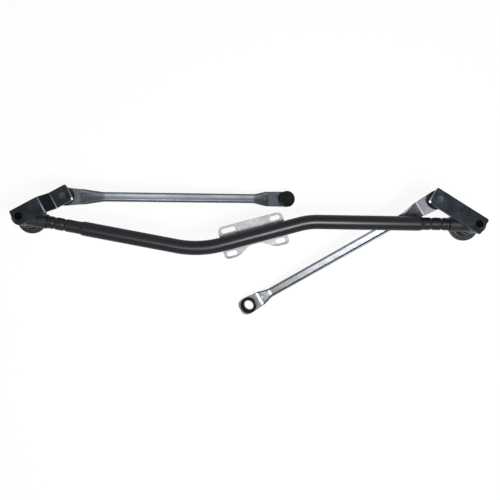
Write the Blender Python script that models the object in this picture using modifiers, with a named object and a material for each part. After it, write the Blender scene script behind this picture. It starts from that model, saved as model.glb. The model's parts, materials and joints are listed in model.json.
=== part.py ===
"""Windshield wiper linkage, without its motor, arms and blades.

X runs from the left pivot to the right pivot, and Z points to the crank side. The origin is the centre of
the mounting bracket's seating face, which bolts to the car's cowl. A frame tube joins two pivot housings.
A spindle turns in each housing, and a crank lever on its end carries a ball stud, from which a pressed
link rod hangs on a plastic ball socket. The free socket of each rod takes a motor crank's ball.
"""

import math

import bmesh
import bpy
from mathutils import Euler, Matrix, Vector

MM = 0.001

# Clearances and facets
GAP = 0.3 * MM  # between two pieces that touch, seat or run on each other
CUT_PAST = 2 * MM  # how far a cutter runs past the face that it opens
MERGE = 0.00001
LARGE_ROUND = 28  # sides of a housing or a gasket
SMALL_ROUND = 20  # sides of a bush, washer, ball or socket

# Pivots
PIVOT_SPACING = 624 * MM
LEFT_PIVOT_X = -319.5 * MM
PIVOT_Y = 20 * MM
RIGHT_PIVOT_X = LEFT_PIVOT_X + PIVOT_SPACING

# Mounting bracket
BRACKET_LENGTH = 93 * MM
BRACKET_WIDTH = 46 * MM
BRACKET_THICKNESS = 3.5 * MM
BRACKET_TURN = math.radians(15.6)
BRACKET_CORNER = 9 * MM
BRACKET_SLOT_SPACING = 70 * MM
BRACKET_SLOT_ROW_SPACING = 33 * MM
BRACKET_SLOT_WIDTH = 7 * MM
BRACKET_SLOT_LENGTH = 15 * MM
BRACKET_LONG_SLOT_LENGTH = 21 * MM
BRACKET_NOTCH_MOUTH = 54 * MM
BRACKET_NOTCH_FLOOR = 18 * MM
BRACKET_NOTCH_DEPTH = 11 * MM

# Frame tube
TUBE_RADIUS = 10 * MM
TUBE_WALL = 1.5 * MM
TUBE_MIDDLE_LENGTH = 156.4 * MM  # between its two corners
TUBE_RIGHT_CORNER_X = 75.5 * MM
TUBE_LEFT_BEND_RADIUS = 140 * MM
TUBE_RIGHT_BEND_RADIUS = 95 * MM
TUBE_END_FROM_PIVOT = 36 * MM
TUBE_BEND_STEPS = 6
TUBE_BEVEL_RESOLUTION = 6
SWAGE_RADIUS = 8.75 * MM
LEFT_SWAGE_LENGTH = 45 * MM
RIGHT_SWAGE_LENGTH = 35 * MM
SWAGE_TAPER = 6 * MM
CRIMP_PLACES = (10 * MM, 24 * MM)  # from the tube's end
CRIMP_DEPTH = 0.8 * MM
CRIMP_HALF_WIDTH = 1.2 * MM
CRIMP_SLOPE = 1.3 * MM
TUBE_AXIS_Z = BRACKET_THICKNESS + GAP + TUBE_RADIUS

# Crank levers
LEVER_THICKNESS = 4 * MM
LEVER_WIDTH = 24 * MM
LEVER_BEHIND_SPINDLE = 8.5 * MM
LEVER_PAST_BALL = 11 * MM
LEVER_SMALL_CORNER = 2.5 * MM
LEVER_LARGE_CORNER = 7 * MM
CRANK_RADIUS = 63 * MM
LEFT_LEVER_ANGLE = math.radians(29)
RIGHT_LEVER_ANGLE = math.radians(148.7)
LEFT_LEVER_DROP = 14 * MM
JOGGLE_START = 33 * MM  # from the spindle's axis
JOGGLE_RUN = 14 * MM
JOGGLE_RADIUS = 3 * MM

# Pivot housings; heights are along Z
BARREL_RADIUS = 12 * MM
BARREL_ABOVE_TUBE = 1.2 * MM
BARREL_TOP_Z = TUBE_AXIS_Z + TUBE_RADIUS + BARREL_ABOVE_TUBE
BARREL_STEP_Z = 0
LOWER_BARREL_RADIUS = 14 * MM
FLANGE_RADIUS = 21.5 * MM
FLANGE_TOP_Z = -26 * MM
FLANGE_THICKNESS = 5 * MM
FLANGE_Z = FLANGE_TOP_Z - FLANGE_THICKNESS
NECK_RADIUS = 10 * MM
NECK_LENGTH = 19 * MM
NECK_END_Z = FLANGE_Z - NECK_LENGTH
EDGE_CHAMFER = 1 * MM
SPIGOT_SHOULDER_RADIUS = TUBE_RADIUS
SPIGOT_RADIUS = SWAGE_RADIUS - TUBE_WALL - GAP
SPIGOT_LENGTH = 30 * MM

# Spindles
SPINDLE_RADIUS = 6 * MM
SPINDLE_END_RADIUS = 5 * MM
SPINDLE_END_RECESS = 1.8 * MM
SPINDLE_DIMPLE_RADIUS = 1.5 * MM
SPINDLE_DIMPLE_DEPTH = 1.2 * MM
SPINDLE_GROOVE_DEPTH = 1.2 * MM
ARM_SEAT_GAP = 3 * MM  # from the ring's groove to the knurled cone
ARM_CONE_LENGTH = 7 * MM
ARM_CONE_END_RADIUS = 5.2 * MM
ARM_THREAD_RADIUS = 4 * MM
ARM_THREAD_LENGTH = 10 * MM

# What the housings hold
BUSH_WALL = 1.7 * MM
BUSH_LENGTH = 16 * MM
THRUST_WASHER_RADIUS = 10.5 * MM
THRUST_WASHER_THICKNESS = 1.4 * MM
LEVER_UNDER_Z = BARREL_TOP_Z + THRUST_WASHER_THICKNESS + 2 * GAP
LEVER_TOP_Z = LEVER_UNDER_Z + LEVER_THICKNESS
RETAINING_RING_THICKNESS = 1.2 * MM
RETAINING_RING_RADIUS = 9 * MM
RETAINING_RING_MOUTH = math.radians(35)  # half the mouth's angle
RING_GRIP_RADIUS = SPINDLE_RADIUS - SPINDLE_GROOVE_DEPTH + GAP
GASKET_RADIUS = 20.5 * MM
GASKET_THICKNESS = 2.5 * MM
PANEL_SPACE = 2.4 * MM  # for the cowl panel, between the gasket and the washer
CLAMP_WASHER_RADIUS = 17 * MM
CLAMP_WASHER_THICKNESS = 1.6 * MM
CLAMP_NUT_FLATS = 30 * MM
CLAMP_NUT_HEIGHT = 8 * MM
BORE_RADIUS = SPINDLE_RADIUS + BUSH_WALL + 2 * GAP

# Ball studs; heights are from the ball's centre
BALL_RADIUS = 8 * MM
BALL_BELOW_LEVER = 16 * MM
STUD_NECK_RADIUS = 4.5 * MM
STUD_SHANK_RADIUS = 3.7 * MM
STUD_HEAD_RADIUS = 5 * MM
STUD_HEAD_HEIGHT = 0.6 * MM
# Ball sockets; heights are from the ball's centre
SOCKET_HOLLOW_RADIUS = BALL_RADIUS + GAP
SOCKET_MOUTH_RADIUS = BALL_RADIUS - 0.5 * MM
SOCKET_FLARE_RADIUS = BALL_RADIUS + 0.2 * MM
SOCKET_RIM_RADIUS = BALL_RADIUS + 1.5 * MM
SOCKET_RIM_Z = 6 * MM
SOCKET_WAIST_WALL = 1.3 * MM
SOCKET_WAIST_RADIUS = SOCKET_HOLLOW_RADIUS + SOCKET_WAIST_WALL
SOCKET_SNAP_RADIUS = SOCKET_WAIST_RADIUS + 1.9 * MM
SOCKET_SNAP_HEIGHT = 0.7 * MM
SOCKET_BODY_RADIUS = SOCKET_WAIST_RADIUS + 2.35 * MM
SOCKET_FLOOR_Z = -SOCKET_HOLLOW_RADIUS - 1.7 * MM

# Boots, over the near sockets; heights are from the ball's centre
BOOT_HOLLOW_RADIUS = SOCKET_SNAP_RADIUS + 0.5 * MM
BOOT_RADIUS = BOOT_HOLLOW_RADIUS + 1.25 * MM
BOOT_LOWER_Z = 5.2 * MM

# Link rods; lengths are along the rod from a ball's centre
SHEET = 2 * MM
CHANNEL_WIDTH = 12 * MM
CHANNEL_DEPTH = 9.5 * MM
CHANNEL_BEND = 2 * MM  # bend radius at the middle of the sheet
FOLD_HALF_WIDTH = 11 * MM  # at the fold between eye and ramp
EYE_HALF_WIDTH = 12.75 * MM
EYE_ROUNDNESS = 3  # power of the superellipse that ends an eye
NEAR_END_REACH = 13.5 * MM
RIGHT_FREE_END_REACH = 15.6 * MM
LEFT_FREE_END_REACH = 12.6 * MM
LEFT_FREE_EYE_HALF_WIDTH = 11.4 * MM
EYE_HOLE_RADIUS = SOCKET_WAIST_RADIUS + GAP
RAMP_HOLE_RADIUS = 1.5 * MM
RAMP_HOLE_PAST_FOLD = 5 * MM
LEFT_ROD = {
    "length": 321 * MM,
    "heading": math.radians(1.28),
    "droop": math.radians(11.6),
    "near_flat": 20 * MM,
    "near_ramp": 32 * MM,
    "far_flat": 28 * MM,
    "far_ramp": 22 * MM,
    "far_half_width": LEFT_FREE_EYE_HALF_WIDTH,
    "far_reach": LEFT_FREE_END_REACH,
    "back_up": True,  # the channel's closed back faces the crank side
}
RIGHT_ROD = {
    "length": 309 * MM,
    "heading": math.radians(211.67),
    "droop": math.radians(15.68),
    "near_flat": 25.5 * MM,
    "near_ramp": 19 * MM,
    "far_flat": 18.7 * MM,
    "far_ramp": 18 * MM,
    "far_half_width": EYE_HALF_WIDTH,
    "far_reach": RIGHT_FREE_END_REACH,
    "back_up": False,
}

for old in list(bpy.data.objects):
    bpy.data.objects.remove(old, do_unlink=True)

PARTS = bpy.data.collections.new("wiper_linkage")
CUTTERS = bpy.data.collections.new("cutters")
bpy.context.scene.collection.children.link(PARTS)
bpy.context.scene.collection.children.link(CUTTERS)


# Materials


def material(name, colour, roughness, metallic):
    made = bpy.data.materials.new(name)
    made.use_nodes = True
    shader = made.node_tree.nodes["Principled BSDF"]
    shader.inputs["Base Color"].default_value = (*colour, 1)
    shader.inputs["Roughness"].default_value = roughness
    shader.inputs["Metallic"].default_value = metallic
    return made


BLACK_COAT = material("black_electrocoat", (0.012, 0.013, 0.016), 0.25, 0.0)
BRIGHT_ZINC = material("bright_zinc", (0.55, 0.56, 0.57), 0.35, 0.9)
CAST_GREY = material("cast_grey", (0.16, 0.16, 0.17), 0.5, 0.6)
LEVER_STEEL = material("blue_steel", (0.09, 0.11, 0.13), 0.4, 0.7)
STUD_STEEL = material("stud_steel", (0.12, 0.13, 0.14), 0.35, 0.8)
ROD_STEEL = material("rod_zinc", (0.32, 0.34, 0.37), 0.4, 0.8)
SPINDLE_STEEL = material("ground_steel", (0.35, 0.35, 0.36), 0.25, 1.0)
SPRING_STEEL = material("spring_steel", (0.1, 0.1, 0.11), 0.35, 0.9)
BRONZE = material("sintered_bronze", (0.35, 0.2, 0.08), 0.5, 0.9)
SOCKET_PLASTIC = material("black_acetal", (0.01, 0.01, 0.011), 0.4, 0.0)
WASHER_PLASTIC = material("white_nylon", (0.75, 0.74, 0.7), 0.5, 0.0)
RUBBER = material("black_rubber", (0.008, 0.008, 0.008), 0.75, 0.0)
PLATED_STEEL = material("plated_steel", (0.5, 0.5, 0.5), 0.35, 0.9)


# Outlines


def arc(centre, radius, start, end, steps):
    """Points on a circle from one angle to another, both included."""
    return [
        (
            centre[0] + radius * math.cos(start + (end - start) * i / steps),
            centre[1] + radius * math.sin(start + (end - start) * i / steps),
        )
        for i in range(steps + 1)
    ]


def circle(centre, radius, sides=SMALL_ROUND):
    return arc(centre, radius, 0, 2 * math.pi, sides)[:-1]


def slot(centre, length, width):
    """A slot along X with round ends."""
    reach = (length - width) / 2
    right = arc((centre[0] + reach, centre[1]), width / 2, -math.pi / 2, math.pi / 2, 6)
    left = arc((centre[0] - reach, centre[1]), width / 2, math.pi / 2, 3 * math.pi / 2, 6)
    return right + left


def rounded(corners, steps=4):
    """A closed outline from (x, y, radius) corners, each turned into an arc."""
    outline = []
    for i, (x, y, radius) in enumerate(corners):
        here = Vector((x, y))
        before = (Vector(corners[i - 1][:2]) - here).normalized()
        after = (Vector(corners[(i + 1) % len(corners)][:2]) - here).normalized()
        half = before.angle(after) / 2
        if radius == 0 or half > math.radians(89.9):
            outline.append((x, y))
            continue
        centre = here + (before + after).normalized() * radius / math.sin(half)
        start = here + before * radius / math.tan(half) - centre
        end = here + after * radius / math.tan(half) - centre
        turn = start.angle_signed(end)
        first = math.atan2(start.y, start.x)
        outline += arc(centre, radius, first, first - turn, steps)
    return outline


# Shapes


def add(name, mesh, finish, place=(0, 0, 0), turn=None, collection=PARTS):
    """A named object with its material, shaded smooth across its shallow edges."""
    made = bpy.data.objects.new(name, mesh)
    collection.objects.link(made)
    made.matrix_world = Matrix.Translation(place) @ (turn or Matrix()).to_4x4()
    if finish:
        mesh.materials.clear()
        mesh.materials.append(finish)
    mesh.shade_smooth()
    mesh.set_sharp_from_angle(angle=math.radians(30))
    if collection is CUTTERS:
        made.hide_render = True
        made.display_type = "WIRE"
    return made


def evaluated(source):
    """The mesh that a curve or a modified object gives, without the object itself."""
    bpy.context.view_layer.update()
    mesh = bpy.data.meshes.new_from_object(
        source.evaluated_get(bpy.context.evaluated_depsgraph_get())
    )
    data = source.data
    bpy.data.objects.remove(source)
    if isinstance(data, bpy.types.Curve):
        bpy.data.curves.remove(data)
    shape = bmesh.new()
    shape.from_mesh(mesh)
    bmesh.ops.remove_doubles(shape, verts=shape.verts, dist=MERGE)
    bmesh.ops.recalc_face_normals(shape, faces=shape.faces)
    shape.to_mesh(mesh)
    shape.free()
    return mesh


def turned(profile, sides=SMALL_ROUND):
    """A turned solid from (radius, height) points.

    The points run down the outer side. They start and end on the axis, or run back up the inner side.
    """
    solid = profile[0][0] == 0 and profile[-1][0] == 0
    count = len(profile)
    edges = [(i, (i + 1) % count) for i in range(count - 1 if solid else count)]
    mesh = bpy.data.meshes.new("profile")
    mesh.from_pydata([(radius, 0, height) for radius, height in profile], edges, [])
    source = bpy.data.objects.new("profile", mesh)
    CUTTERS.objects.link(source)
    screw = source.modifiers.new("turn", "SCREW")
    screw.steps = sides
    screw.render_steps = sides
    screw.use_merge_vertices = True
    screw.merge_threshold = MERGE
    return evaluated(source)


def ring(inner, outer, top, bottom):
    """A plain turned ring's profile."""
    return [(outer, top), (outer, bottom), (inner, bottom), (inner, top)]


def plate(outlines, thickness):
    """A flat solid of the first outline, less the others, centred on its thickness."""
    curve = bpy.data.curves.new("outline", "CURVE")
    curve.dimensions = "2D"
    curve.fill_mode = "BOTH"
    curve.extrude = thickness / 2
    for outline in outlines:
        spline = curve.splines.new("POLY")
        spline.points.add(len(outline) - 1)
        for point, (x, y) in zip(spline.points, outline):
            point.co = (x, y, 0, 1)
        spline.use_cyclic_u = True
    source = bpy.data.objects.new("outline", curve)
    CUTTERS.objects.link(source)
    return evaluated(source)


def pipe(stations, resolution):
    """A round bar through (point, radius) stations."""
    curve = bpy.data.curves.new("route", "CURVE")
    curve.dimensions = "3D"
    curve.twist_mode = "Z_UP"
    curve.bevel_depth = 1
    curve.bevel_resolution = resolution
    curve.use_fill_caps = True
    spline = curve.splines.new("POLY")
    spline.points.add(len(stations) - 1)
    for point, (place, radius) in zip(spline.points, stations):
        point.co = (*place, 1)
        point.radius = radius
    source = bpy.data.objects.new("route", curve)
    CUTTERS.objects.link(source)
    return evaluated(source)


def boolean(target, tool, operation):
    step = target.modifiers.new(tool.name, "BOOLEAN")
    step.operation = operation
    step.solver = "EXACT"
    step.object = tool


def bore(target, name, place, radius, turn=None, length=80 * MM, sides=SMALL_ROUND):
    """Cuts a round hole along the tool's Z axis."""
    rod = [(0, length / 2), (radius, length / 2), (radius, -length / 2), (0, -length / 2)]
    tool = add(name, turned(rod, sides), None, place, turn, CUTTERS)
    boolean(target, tool, "DIFFERENCE")


# Frame


def tube_corner(x, y):
    return Vector((x, y, TUBE_AXIS_Z))


def bend(corner, before, after, radius):
    """Points on the arc that rounds a corner between two others."""
    back = (before - corner).normalized()
    on = (after - corner).normalized()
    half = back.angle(on) / 2
    centre = corner + (back + on).normalized() * radius / math.sin(half)
    start = corner + back * radius / math.tan(half) - centre
    end = corner + on * radius / math.tan(half) - centre
    axis = start.cross(end).normalized()
    step = start.angle(end) / TUBE_BEND_STEPS
    turns = [Matrix.Rotation(step * i, 3, axis) for i in range(TUBE_BEND_STEPS + 1)]
    return [centre + turn @ start for turn in turns]


def end_stations(swage_length):
    """(distance from the tube's end, radius) pairs, over the crimps and the swaged length."""
    stations = [(0, SWAGE_RADIUS)]
    for place in CRIMP_PLACES:
        for side in (-1, 1):
            foot = place + side * (CRIMP_HALF_WIDTH + CRIMP_SLOPE)
            floor = place + side * CRIMP_HALF_WIDTH
            pair = [(foot, SWAGE_RADIUS), (floor, SWAGE_RADIUS - CRIMP_DEPTH)]
            stations += pair if side < 0 else pair[::-1]
    stations.append((swage_length, SWAGE_RADIUS))
    stations.append((swage_length + SWAGE_TAPER, TUBE_RADIUS))
    return stations


def tube_route():
    """(point, outer radius) along the whole tube, and the headings of its two ends."""
    left = tube_corner(LEFT_PIVOT_X, PIVOT_Y)
    right = tube_corner(RIGHT_PIVOT_X, PIVOT_Y)
    second = tube_corner(TUBE_RIGHT_CORNER_X, PIVOT_Y)
    along = Vector((math.cos(BRACKET_TURN), math.sin(BRACKET_TURN), 0))
    first = second - along * TUBE_MIDDLE_LENGTH
    from_left = (first - left).normalized()
    from_right = (second - right).normalized()
    start = left + from_left * TUBE_END_FROM_PIVOT
    finish = right + from_right * TUBE_END_FROM_PIVOT
    route = [(start + from_left * s, r) for s, r in end_stations(LEFT_SWAGE_LENGTH)]
    route += [(p, TUBE_RADIUS) for p in bend(first, left, second, TUBE_LEFT_BEND_RADIUS)]
    route += [(p, TUBE_RADIUS) for p in bend(second, first, right, TUBE_RIGHT_BEND_RADIUS)]
    route += [
        (finish + from_right * s, r) for s, r in end_stations(RIGHT_SWAGE_LENGTH)[::-1]
    ]
    return route, from_left, from_right


TUBE_ROUTE, LEFT_TUBE_HEADING, RIGHT_TUBE_HEADING = tube_route()


def make_frame_tube():
    tube = add("frame_tube", pipe(TUBE_ROUTE, TUBE_BEVEL_RESOLUTION), BLACK_COAT)
    inner = [(place, radius - TUBE_WALL) for place, radius in TUBE_ROUTE]
    first, last = inner[0], inner[-1]
    inner.insert(0, (first[0] - LEFT_TUBE_HEADING * CUT_PAST, first[1]))
    inner.append((last[0] - RIGHT_TUBE_HEADING * CUT_PAST, last[1]))
    hollow = add(
        "frame_tube_hollow", pipe(inner, TUBE_BEVEL_RESOLUTION), None, collection=CUTTERS
    )
    boolean(tube, hollow, "DIFFERENCE")


def make_mounting_bracket():
    half_length = BRACKET_LENGTH / 2
    half_width = BRACKET_WIDTH / 2
    floor = BRACKET_NOTCH_DEPTH - half_width
    outline = rounded(
        [
            (-half_length, half_width, BRACKET_CORNER),
            (-half_length, -half_width, BRACKET_CORNER),
            (-BRACKET_NOTCH_MOUTH / 2, -half_width, BRACKET_CORNER),
            (-BRACKET_NOTCH_FLOOR / 2, floor, BRACKET_CORNER / 2),
            (BRACKET_NOTCH_FLOOR / 2, floor, BRACKET_CORNER / 2),
            (BRACKET_NOTCH_MOUTH / 2, -half_width, BRACKET_CORNER),
            (half_length, -half_width, BRACKET_CORNER),
            (half_length, half_width, BRACKET_CORNER),
        ]
    )
    slots = []
    for side in (-1, 1):
        for row in (-1, 1):
            long_one = side < 0 < row
            length = BRACKET_LONG_SLOT_LENGTH if long_one else BRACKET_SLOT_LENGTH
            outer_end = side * (BRACKET_SLOT_SPACING + BRACKET_SLOT_LENGTH) / 2
            middle = outer_end - side * length / 2
            slots.append(slot((middle, row * BRACKET_SLOT_ROW_SPACING / 2), length, BRACKET_SLOT_WIDTH))
    add(
        "mounting_bracket",
        plate([outline, *slots], BRACKET_THICKNESS),
        BRIGHT_ZINC,
        (0, 0, BRACKET_THICKNESS / 2),
        Matrix.Rotation(BRACKET_TURN, 3, "Z"),
    )


# Pivots


def spigot_profile():
    """The spigot turned about Z, from inside the barrel to its tip."""
    tip = TUBE_END_FROM_PIVOT + SPIGOT_LENGTH
    shoulder = TUBE_END_FROM_PIVOT - GAP
    groove = SPIGOT_RADIUS - CRIMP_DEPTH
    profile = [(0, tip), (SPIGOT_RADIUS - EDGE_CHAMFER, tip), (SPIGOT_RADIUS, tip - EDGE_CHAMFER)]
    for place in CRIMP_PLACES[::-1]:
        centre = TUBE_END_FROM_PIVOT + place
        floor = CRIMP_HALF_WIDTH + GAP
        foot = floor + CRIMP_SLOPE
        profile += [(SPIGOT_RADIUS, centre + foot), (groove, centre + floor)]
        profile += [(groove, centre - floor), (SPIGOT_RADIUS, centre - foot)]
    profile += [(SPIGOT_RADIUS, shoulder), (SPIGOT_SHOULDER_RADIUS - EDGE_CHAMFER, shoulder)]
    profile += [(SPIGOT_SHOULDER_RADIUS, shoulder - EDGE_CHAMFER)]
    return profile + [(SPIGOT_SHOULDER_RADIUS, SPINDLE_RADIUS), (0, SPINDLE_RADIUS)]


def barrel_profile():
    """The housing's outer side, before it is bored."""
    step = LOWER_BARREL_RADIUS - BARREL_RADIUS
    return [
        (0, BARREL_TOP_Z),
        (BARREL_RADIUS - EDGE_CHAMFER, BARREL_TOP_Z),
        (BARREL_RADIUS, BARREL_TOP_Z - EDGE_CHAMFER),
        (BARREL_RADIUS, BARREL_STEP_Z),
        (LOWER_BARREL_RADIUS, BARREL_STEP_Z - step),
        (LOWER_BARREL_RADIUS, FLANGE_TOP_Z + 2 * EDGE_CHAMFER),
        (LOWER_BARREL_RADIUS + 2 * EDGE_CHAMFER, FLANGE_TOP_Z),
        (FLANGE_RADIUS - EDGE_CHAMFER, FLANGE_TOP_Z),
        (FLANGE_RADIUS, FLANGE_TOP_Z - EDGE_CHAMFER),
        (FLANGE_RADIUS, FLANGE_Z),
        (NECK_RADIUS, FLANGE_Z),
        (NECK_RADIUS, NECK_END_Z + EDGE_CHAMFER),
        (NECK_RADIUS - EDGE_CHAMFER, NECK_END_Z),
        (0, NECK_END_Z),
    ]


def make_housing(side, x, heading):
    place = (x, PIVOT_Y, 0)
    housing = add(
        f"{side}_pivot_housing", turned(barrel_profile(), LARGE_ROUND), CAST_GREY, place
    )
    spigot = add(
        f"{side}_spigot",
        turned(spigot_profile()),
        None,
        (x, PIVOT_Y, TUBE_AXIS_Z),
        heading.to_track_quat("Z", "Y").to_matrix(),
        CUTTERS,
    )
    boolean(housing, spigot, "UNION")
    middle = (BARREL_TOP_Z + NECK_END_Z) / 2
    length = BARREL_TOP_Z - NECK_END_Z + 2 * CUT_PAST
    bore(housing, f"{side}_housing_bore", (x, PIVOT_Y, middle), BORE_RADIUS, length=length)


def spindle_profile():
    """The spindle, from its riveted end in the lever to the wiper arm's thread."""
    top = LEVER_TOP_Z - SPINDLE_END_RECESS
    shoulder = LEVER_UNDER_Z - GAP
    groove_end = NECK_END_Z - RETAINING_RING_THICKNESS - 2 * GAP
    groove_radius = SPINDLE_RADIUS - SPINDLE_GROOVE_DEPTH
    cone = groove_end - ARM_SEAT_GAP
    thread = cone - ARM_CONE_LENGTH
    end = thread - ARM_THREAD_LENGTH
    return [
        (0, top - SPINDLE_DIMPLE_DEPTH),
        (SPINDLE_DIMPLE_RADIUS, top),
        (SPINDLE_END_RADIUS - SPINDLE_DIMPLE_RADIUS / 3, top),
        (SPINDLE_END_RADIUS, top - SPINDLE_DIMPLE_RADIUS / 3),
        (SPINDLE_END_RADIUS, shoulder),
        (SPINDLE_RADIUS, shoulder),
        (SPINDLE_RADIUS, NECK_END_Z),
        (groove_radius, NECK_END_Z),
        (groove_radius, groove_end),
        (SPINDLE_RADIUS, groove_end),
        (SPINDLE_RADIUS, cone),
        (ARM_CONE_END_RADIUS, thread),
        (ARM_THREAD_RADIUS, thread),
        (ARM_THREAD_RADIUS, end + EDGE_CHAMFER),
        (ARM_THREAD_RADIUS - EDGE_CHAMFER, end),
        (0, end),
    ]


def make_o_ring(side, place):
    tube = (BORE_RADIUS - SPINDLE_RADIUS) / 2 - GAP
    bpy.ops.mesh.primitive_torus_add(
        major_segments=SMALL_ROUND,
        minor_segments=8,
        major_radius=(BORE_RADIUS + SPINDLE_RADIUS) / 2,
        minor_radius=tube,
        location=(0, 0, 0),
    )
    mesh = bpy.context.object.data
    bpy.data.objects.remove(bpy.context.object)
    height = NECK_END_Z + GAP + BUSH_LENGTH + GAP + tube
    add(f"{side}_o_ring", mesh, RUBBER, (*place, height))


def make_retaining_ring(side, place):
    """A spring ring with a mouth, in the groove just past the housing's neck."""
    start = RETAINING_RING_MOUTH
    end = 2 * math.pi - RETAINING_RING_MOUTH
    outer = arc((0, 0), RETAINING_RING_RADIUS, start, end, SMALL_ROUND)
    inner = arc((0, 0), RING_GRIP_RADIUS, end, start, SMALL_ROUND)
    height = NECK_END_Z - GAP - RETAINING_RING_THICKNESS / 2
    add(
        f"{side}_retaining_ring",
        plate([outer + inner], RETAINING_RING_THICKNESS),
        SPRING_STEEL,
        (*place, height),
    )


def make_clamp(side, place):
    """What clamps the flange to the cowl panel: a gasket above it, and a washer and a nut below it."""
    hole = NECK_RADIUS + GAP
    gasket_top = FLANGE_Z - GAP
    washer_top = gasket_top - GASKET_THICKNESS - PANEL_SPACE
    nut_top = washer_top - CLAMP_WASHER_THICKNESS - GAP
    gasket = ring(hole, GASKET_RADIUS, gasket_top, gasket_top - GASKET_THICKNESS)
    washer = ring(hole, CLAMP_WASHER_RADIUS, washer_top, washer_top - CLAMP_WASHER_THICKNESS)
    add(f"{side}_panel_gasket", turned(gasket, LARGE_ROUND), RUBBER, (*place, 0))
    add(f"{side}_clamp_washer", turned(washer), PLATED_STEEL, (*place, 0))
    hexagon = circle((0, 0), CLAMP_NUT_FLATS / math.sqrt(3), 6)
    add(
        f"{side}_clamp_nut",
        plate([hexagon, circle((0, 0), hole)], CLAMP_NUT_HEIGHT),
        PLATED_STEEL,
        (*place, nut_top - CLAMP_NUT_HEIGHT / 2),
    )


def make_pivot(side, x, heading):
    place = (x, PIVOT_Y)
    make_housing(side, x, heading)
    add(f"{side}_spindle", turned(spindle_profile()), SPINDLE_STEEL, (*place, 0))
    inner, outer = SPINDLE_RADIUS + GAP, SPINDLE_RADIUS + GAP + BUSH_WALL
    tops = {"inner": BARREL_TOP_Z - GAP, "outer": NECK_END_Z + GAP + BUSH_LENGTH}
    for name, top in tops.items():
        profile = ring(inner, outer, top, top - BUSH_LENGTH)
        add(f"{side}_{name}_bush", turned(profile), BRONZE, (*place, 0))
    make_o_ring(side, place)
    washer = ring(inner, THRUST_WASHER_RADIUS, LEVER_UNDER_Z - GAP, BARREL_TOP_Z + GAP)
    add(f"{side}_thrust_washer", turned(washer), WASHER_PLASTIC, (*place, 0))
    make_retaining_ring(side, place)
    make_clamp(side, place)


# Cranks


def lever_strip(drop):
    """The lever's side view: a strip that steps down by the drop, folded at two rounded bends."""
    top = LEVER_TOP_Z
    under = LEVER_UNDER_Z
    start = -LEVER_BEHIND_SPINDLE - CUT_PAST
    end = CRANK_RADIUS + LEVER_PAST_BALL + CUT_PAST
    shift = LEVER_THICKNESS / 2 * math.tan(math.atan2(drop, JOGGLE_RUN) / 2)
    inside = JOGGLE_RADIUS
    outside = JOGGLE_RADIUS + LEVER_THICKNESS
    return rounded(
        [
            (start, top, 0),
            (start, under, 0),
            (JOGGLE_START - shift, under, inside),
            (JOGGLE_START + JOGGLE_RUN - shift, under - drop, outside),
            (end, under - drop, 0),
            (end, top - drop, 0),
            (JOGGLE_START + JOGGLE_RUN + shift, top - drop, inside),
            (JOGGLE_START + shift, top, outside),
        ]
    )


def make_lever(side, x, angle, drop, lower_corner):
    """A lever along its own X, with its origin on the spindle's axis."""
    half = LEVER_WIDTH / 2
    near, far = -LEVER_BEHIND_SPINDLE, CRANK_RADIUS + LEVER_PAST_BALL
    outer_side = -half if side == "left" else half
    corners = [
        (near, outer_side, lower_corner),
        (far, outer_side, LEVER_SMALL_CORNER),
        (far, -outer_side, LEVER_SMALL_CORNER),
        (near, -outer_side, LEVER_SMALL_CORNER),
    ]
    holes = [
        circle((0, 0), SPINDLE_END_RADIUS + GAP),
        circle((CRANK_RADIUS, 0), STUD_SHANK_RADIUS + GAP),
    ]
    turn = Matrix.Rotation(angle, 3, "Z")
    place = (x, PIVOT_Y, 0)
    blank = plate([rounded(corners), *holes], 4 * (LEVER_TOP_Z + LEVER_THICKNESS))
    lever = add(f"{side}_crank_lever", blank, LEVER_STEEL, place, turn)
    upright = turn @ Matrix.Rotation(math.pi / 2, 3, "X")
    strip = add(
        f"{side}_lever_strip",
        plate([lever_strip(drop)], LEVER_WIDTH + 2 * CUT_PAST),
        None,
        place,
        upright,
        CUTTERS,
    )
    boolean(lever, strip, "INTERSECT")


def ball_place(x, angle, drop):
    return Vector(
        (
            x + CRANK_RADIUS * math.cos(angle),
            PIVOT_Y + CRANK_RADIUS * math.sin(angle),
            LEVER_UNDER_Z - drop - BALL_BELOW_LEVER,
        )
    )


def make_ball_stud(side, ball):
    """A ball, its neck up to the lever, a shank through it and a flat rivet head."""
    shoulder = BALL_BELOW_LEVER - GAP
    head = BALL_BELOW_LEVER + LEVER_THICKNESS + GAP
    neck_angle = math.acos(STUD_NECK_RADIUS / BALL_RADIUS)
    profile = [
        (0, head + STUD_HEAD_HEIGHT),
        (STUD_HEAD_RADIUS - STUD_HEAD_HEIGHT / 2, head + STUD_HEAD_HEIGHT),
        (STUD_HEAD_RADIUS, head + STUD_HEAD_HEIGHT / 2),
        (STUD_HEAD_RADIUS, head),
        (STUD_SHANK_RADIUS, head),
        (STUD_SHANK_RADIUS, shoulder),
        (STUD_NECK_RADIUS, shoulder),
        *arc((0, 0), BALL_RADIUS, neck_angle, -math.pi / 2, 7)[:-1],
        (0, -BALL_RADIUS),
    ]
    add(f"{side}_ball_stud", turned(profile), STUD_STEEL, ball)


def make_boot(side, ball):
    """A bell over the socket's mouth, hollowed by a sphere about the ball's centre."""
    top = BALL_BELOW_LEVER - GAP
    hole = STUD_NECK_RADIUS + GAP
    lip = math.asin(BOOT_LOWER_Z / BOOT_HOLLOW_RADIUS)
    crown = math.acos(hole / BOOT_HOLLOW_RADIUS)
    shoulder = BOOT_RADIUS * 0.55
    profile = [
        (shoulder, top),
        *arc((shoulder, BOOT_LOWER_Z + 2 * MM), top - BOOT_LOWER_Z - 2 * MM, math.pi / 3, math.pi / 5, 1),
        (BOOT_RADIUS, BOOT_LOWER_Z + 2.5 * MM),
        (BOOT_RADIUS, BOOT_LOWER_Z),
        *arc((0, 0), BOOT_HOLLOW_RADIUS, lip, crown, 5),
        (hole, top),
    ]
    add(f"{side}_ball_boot", turned(profile), RUBBER, ball)


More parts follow.
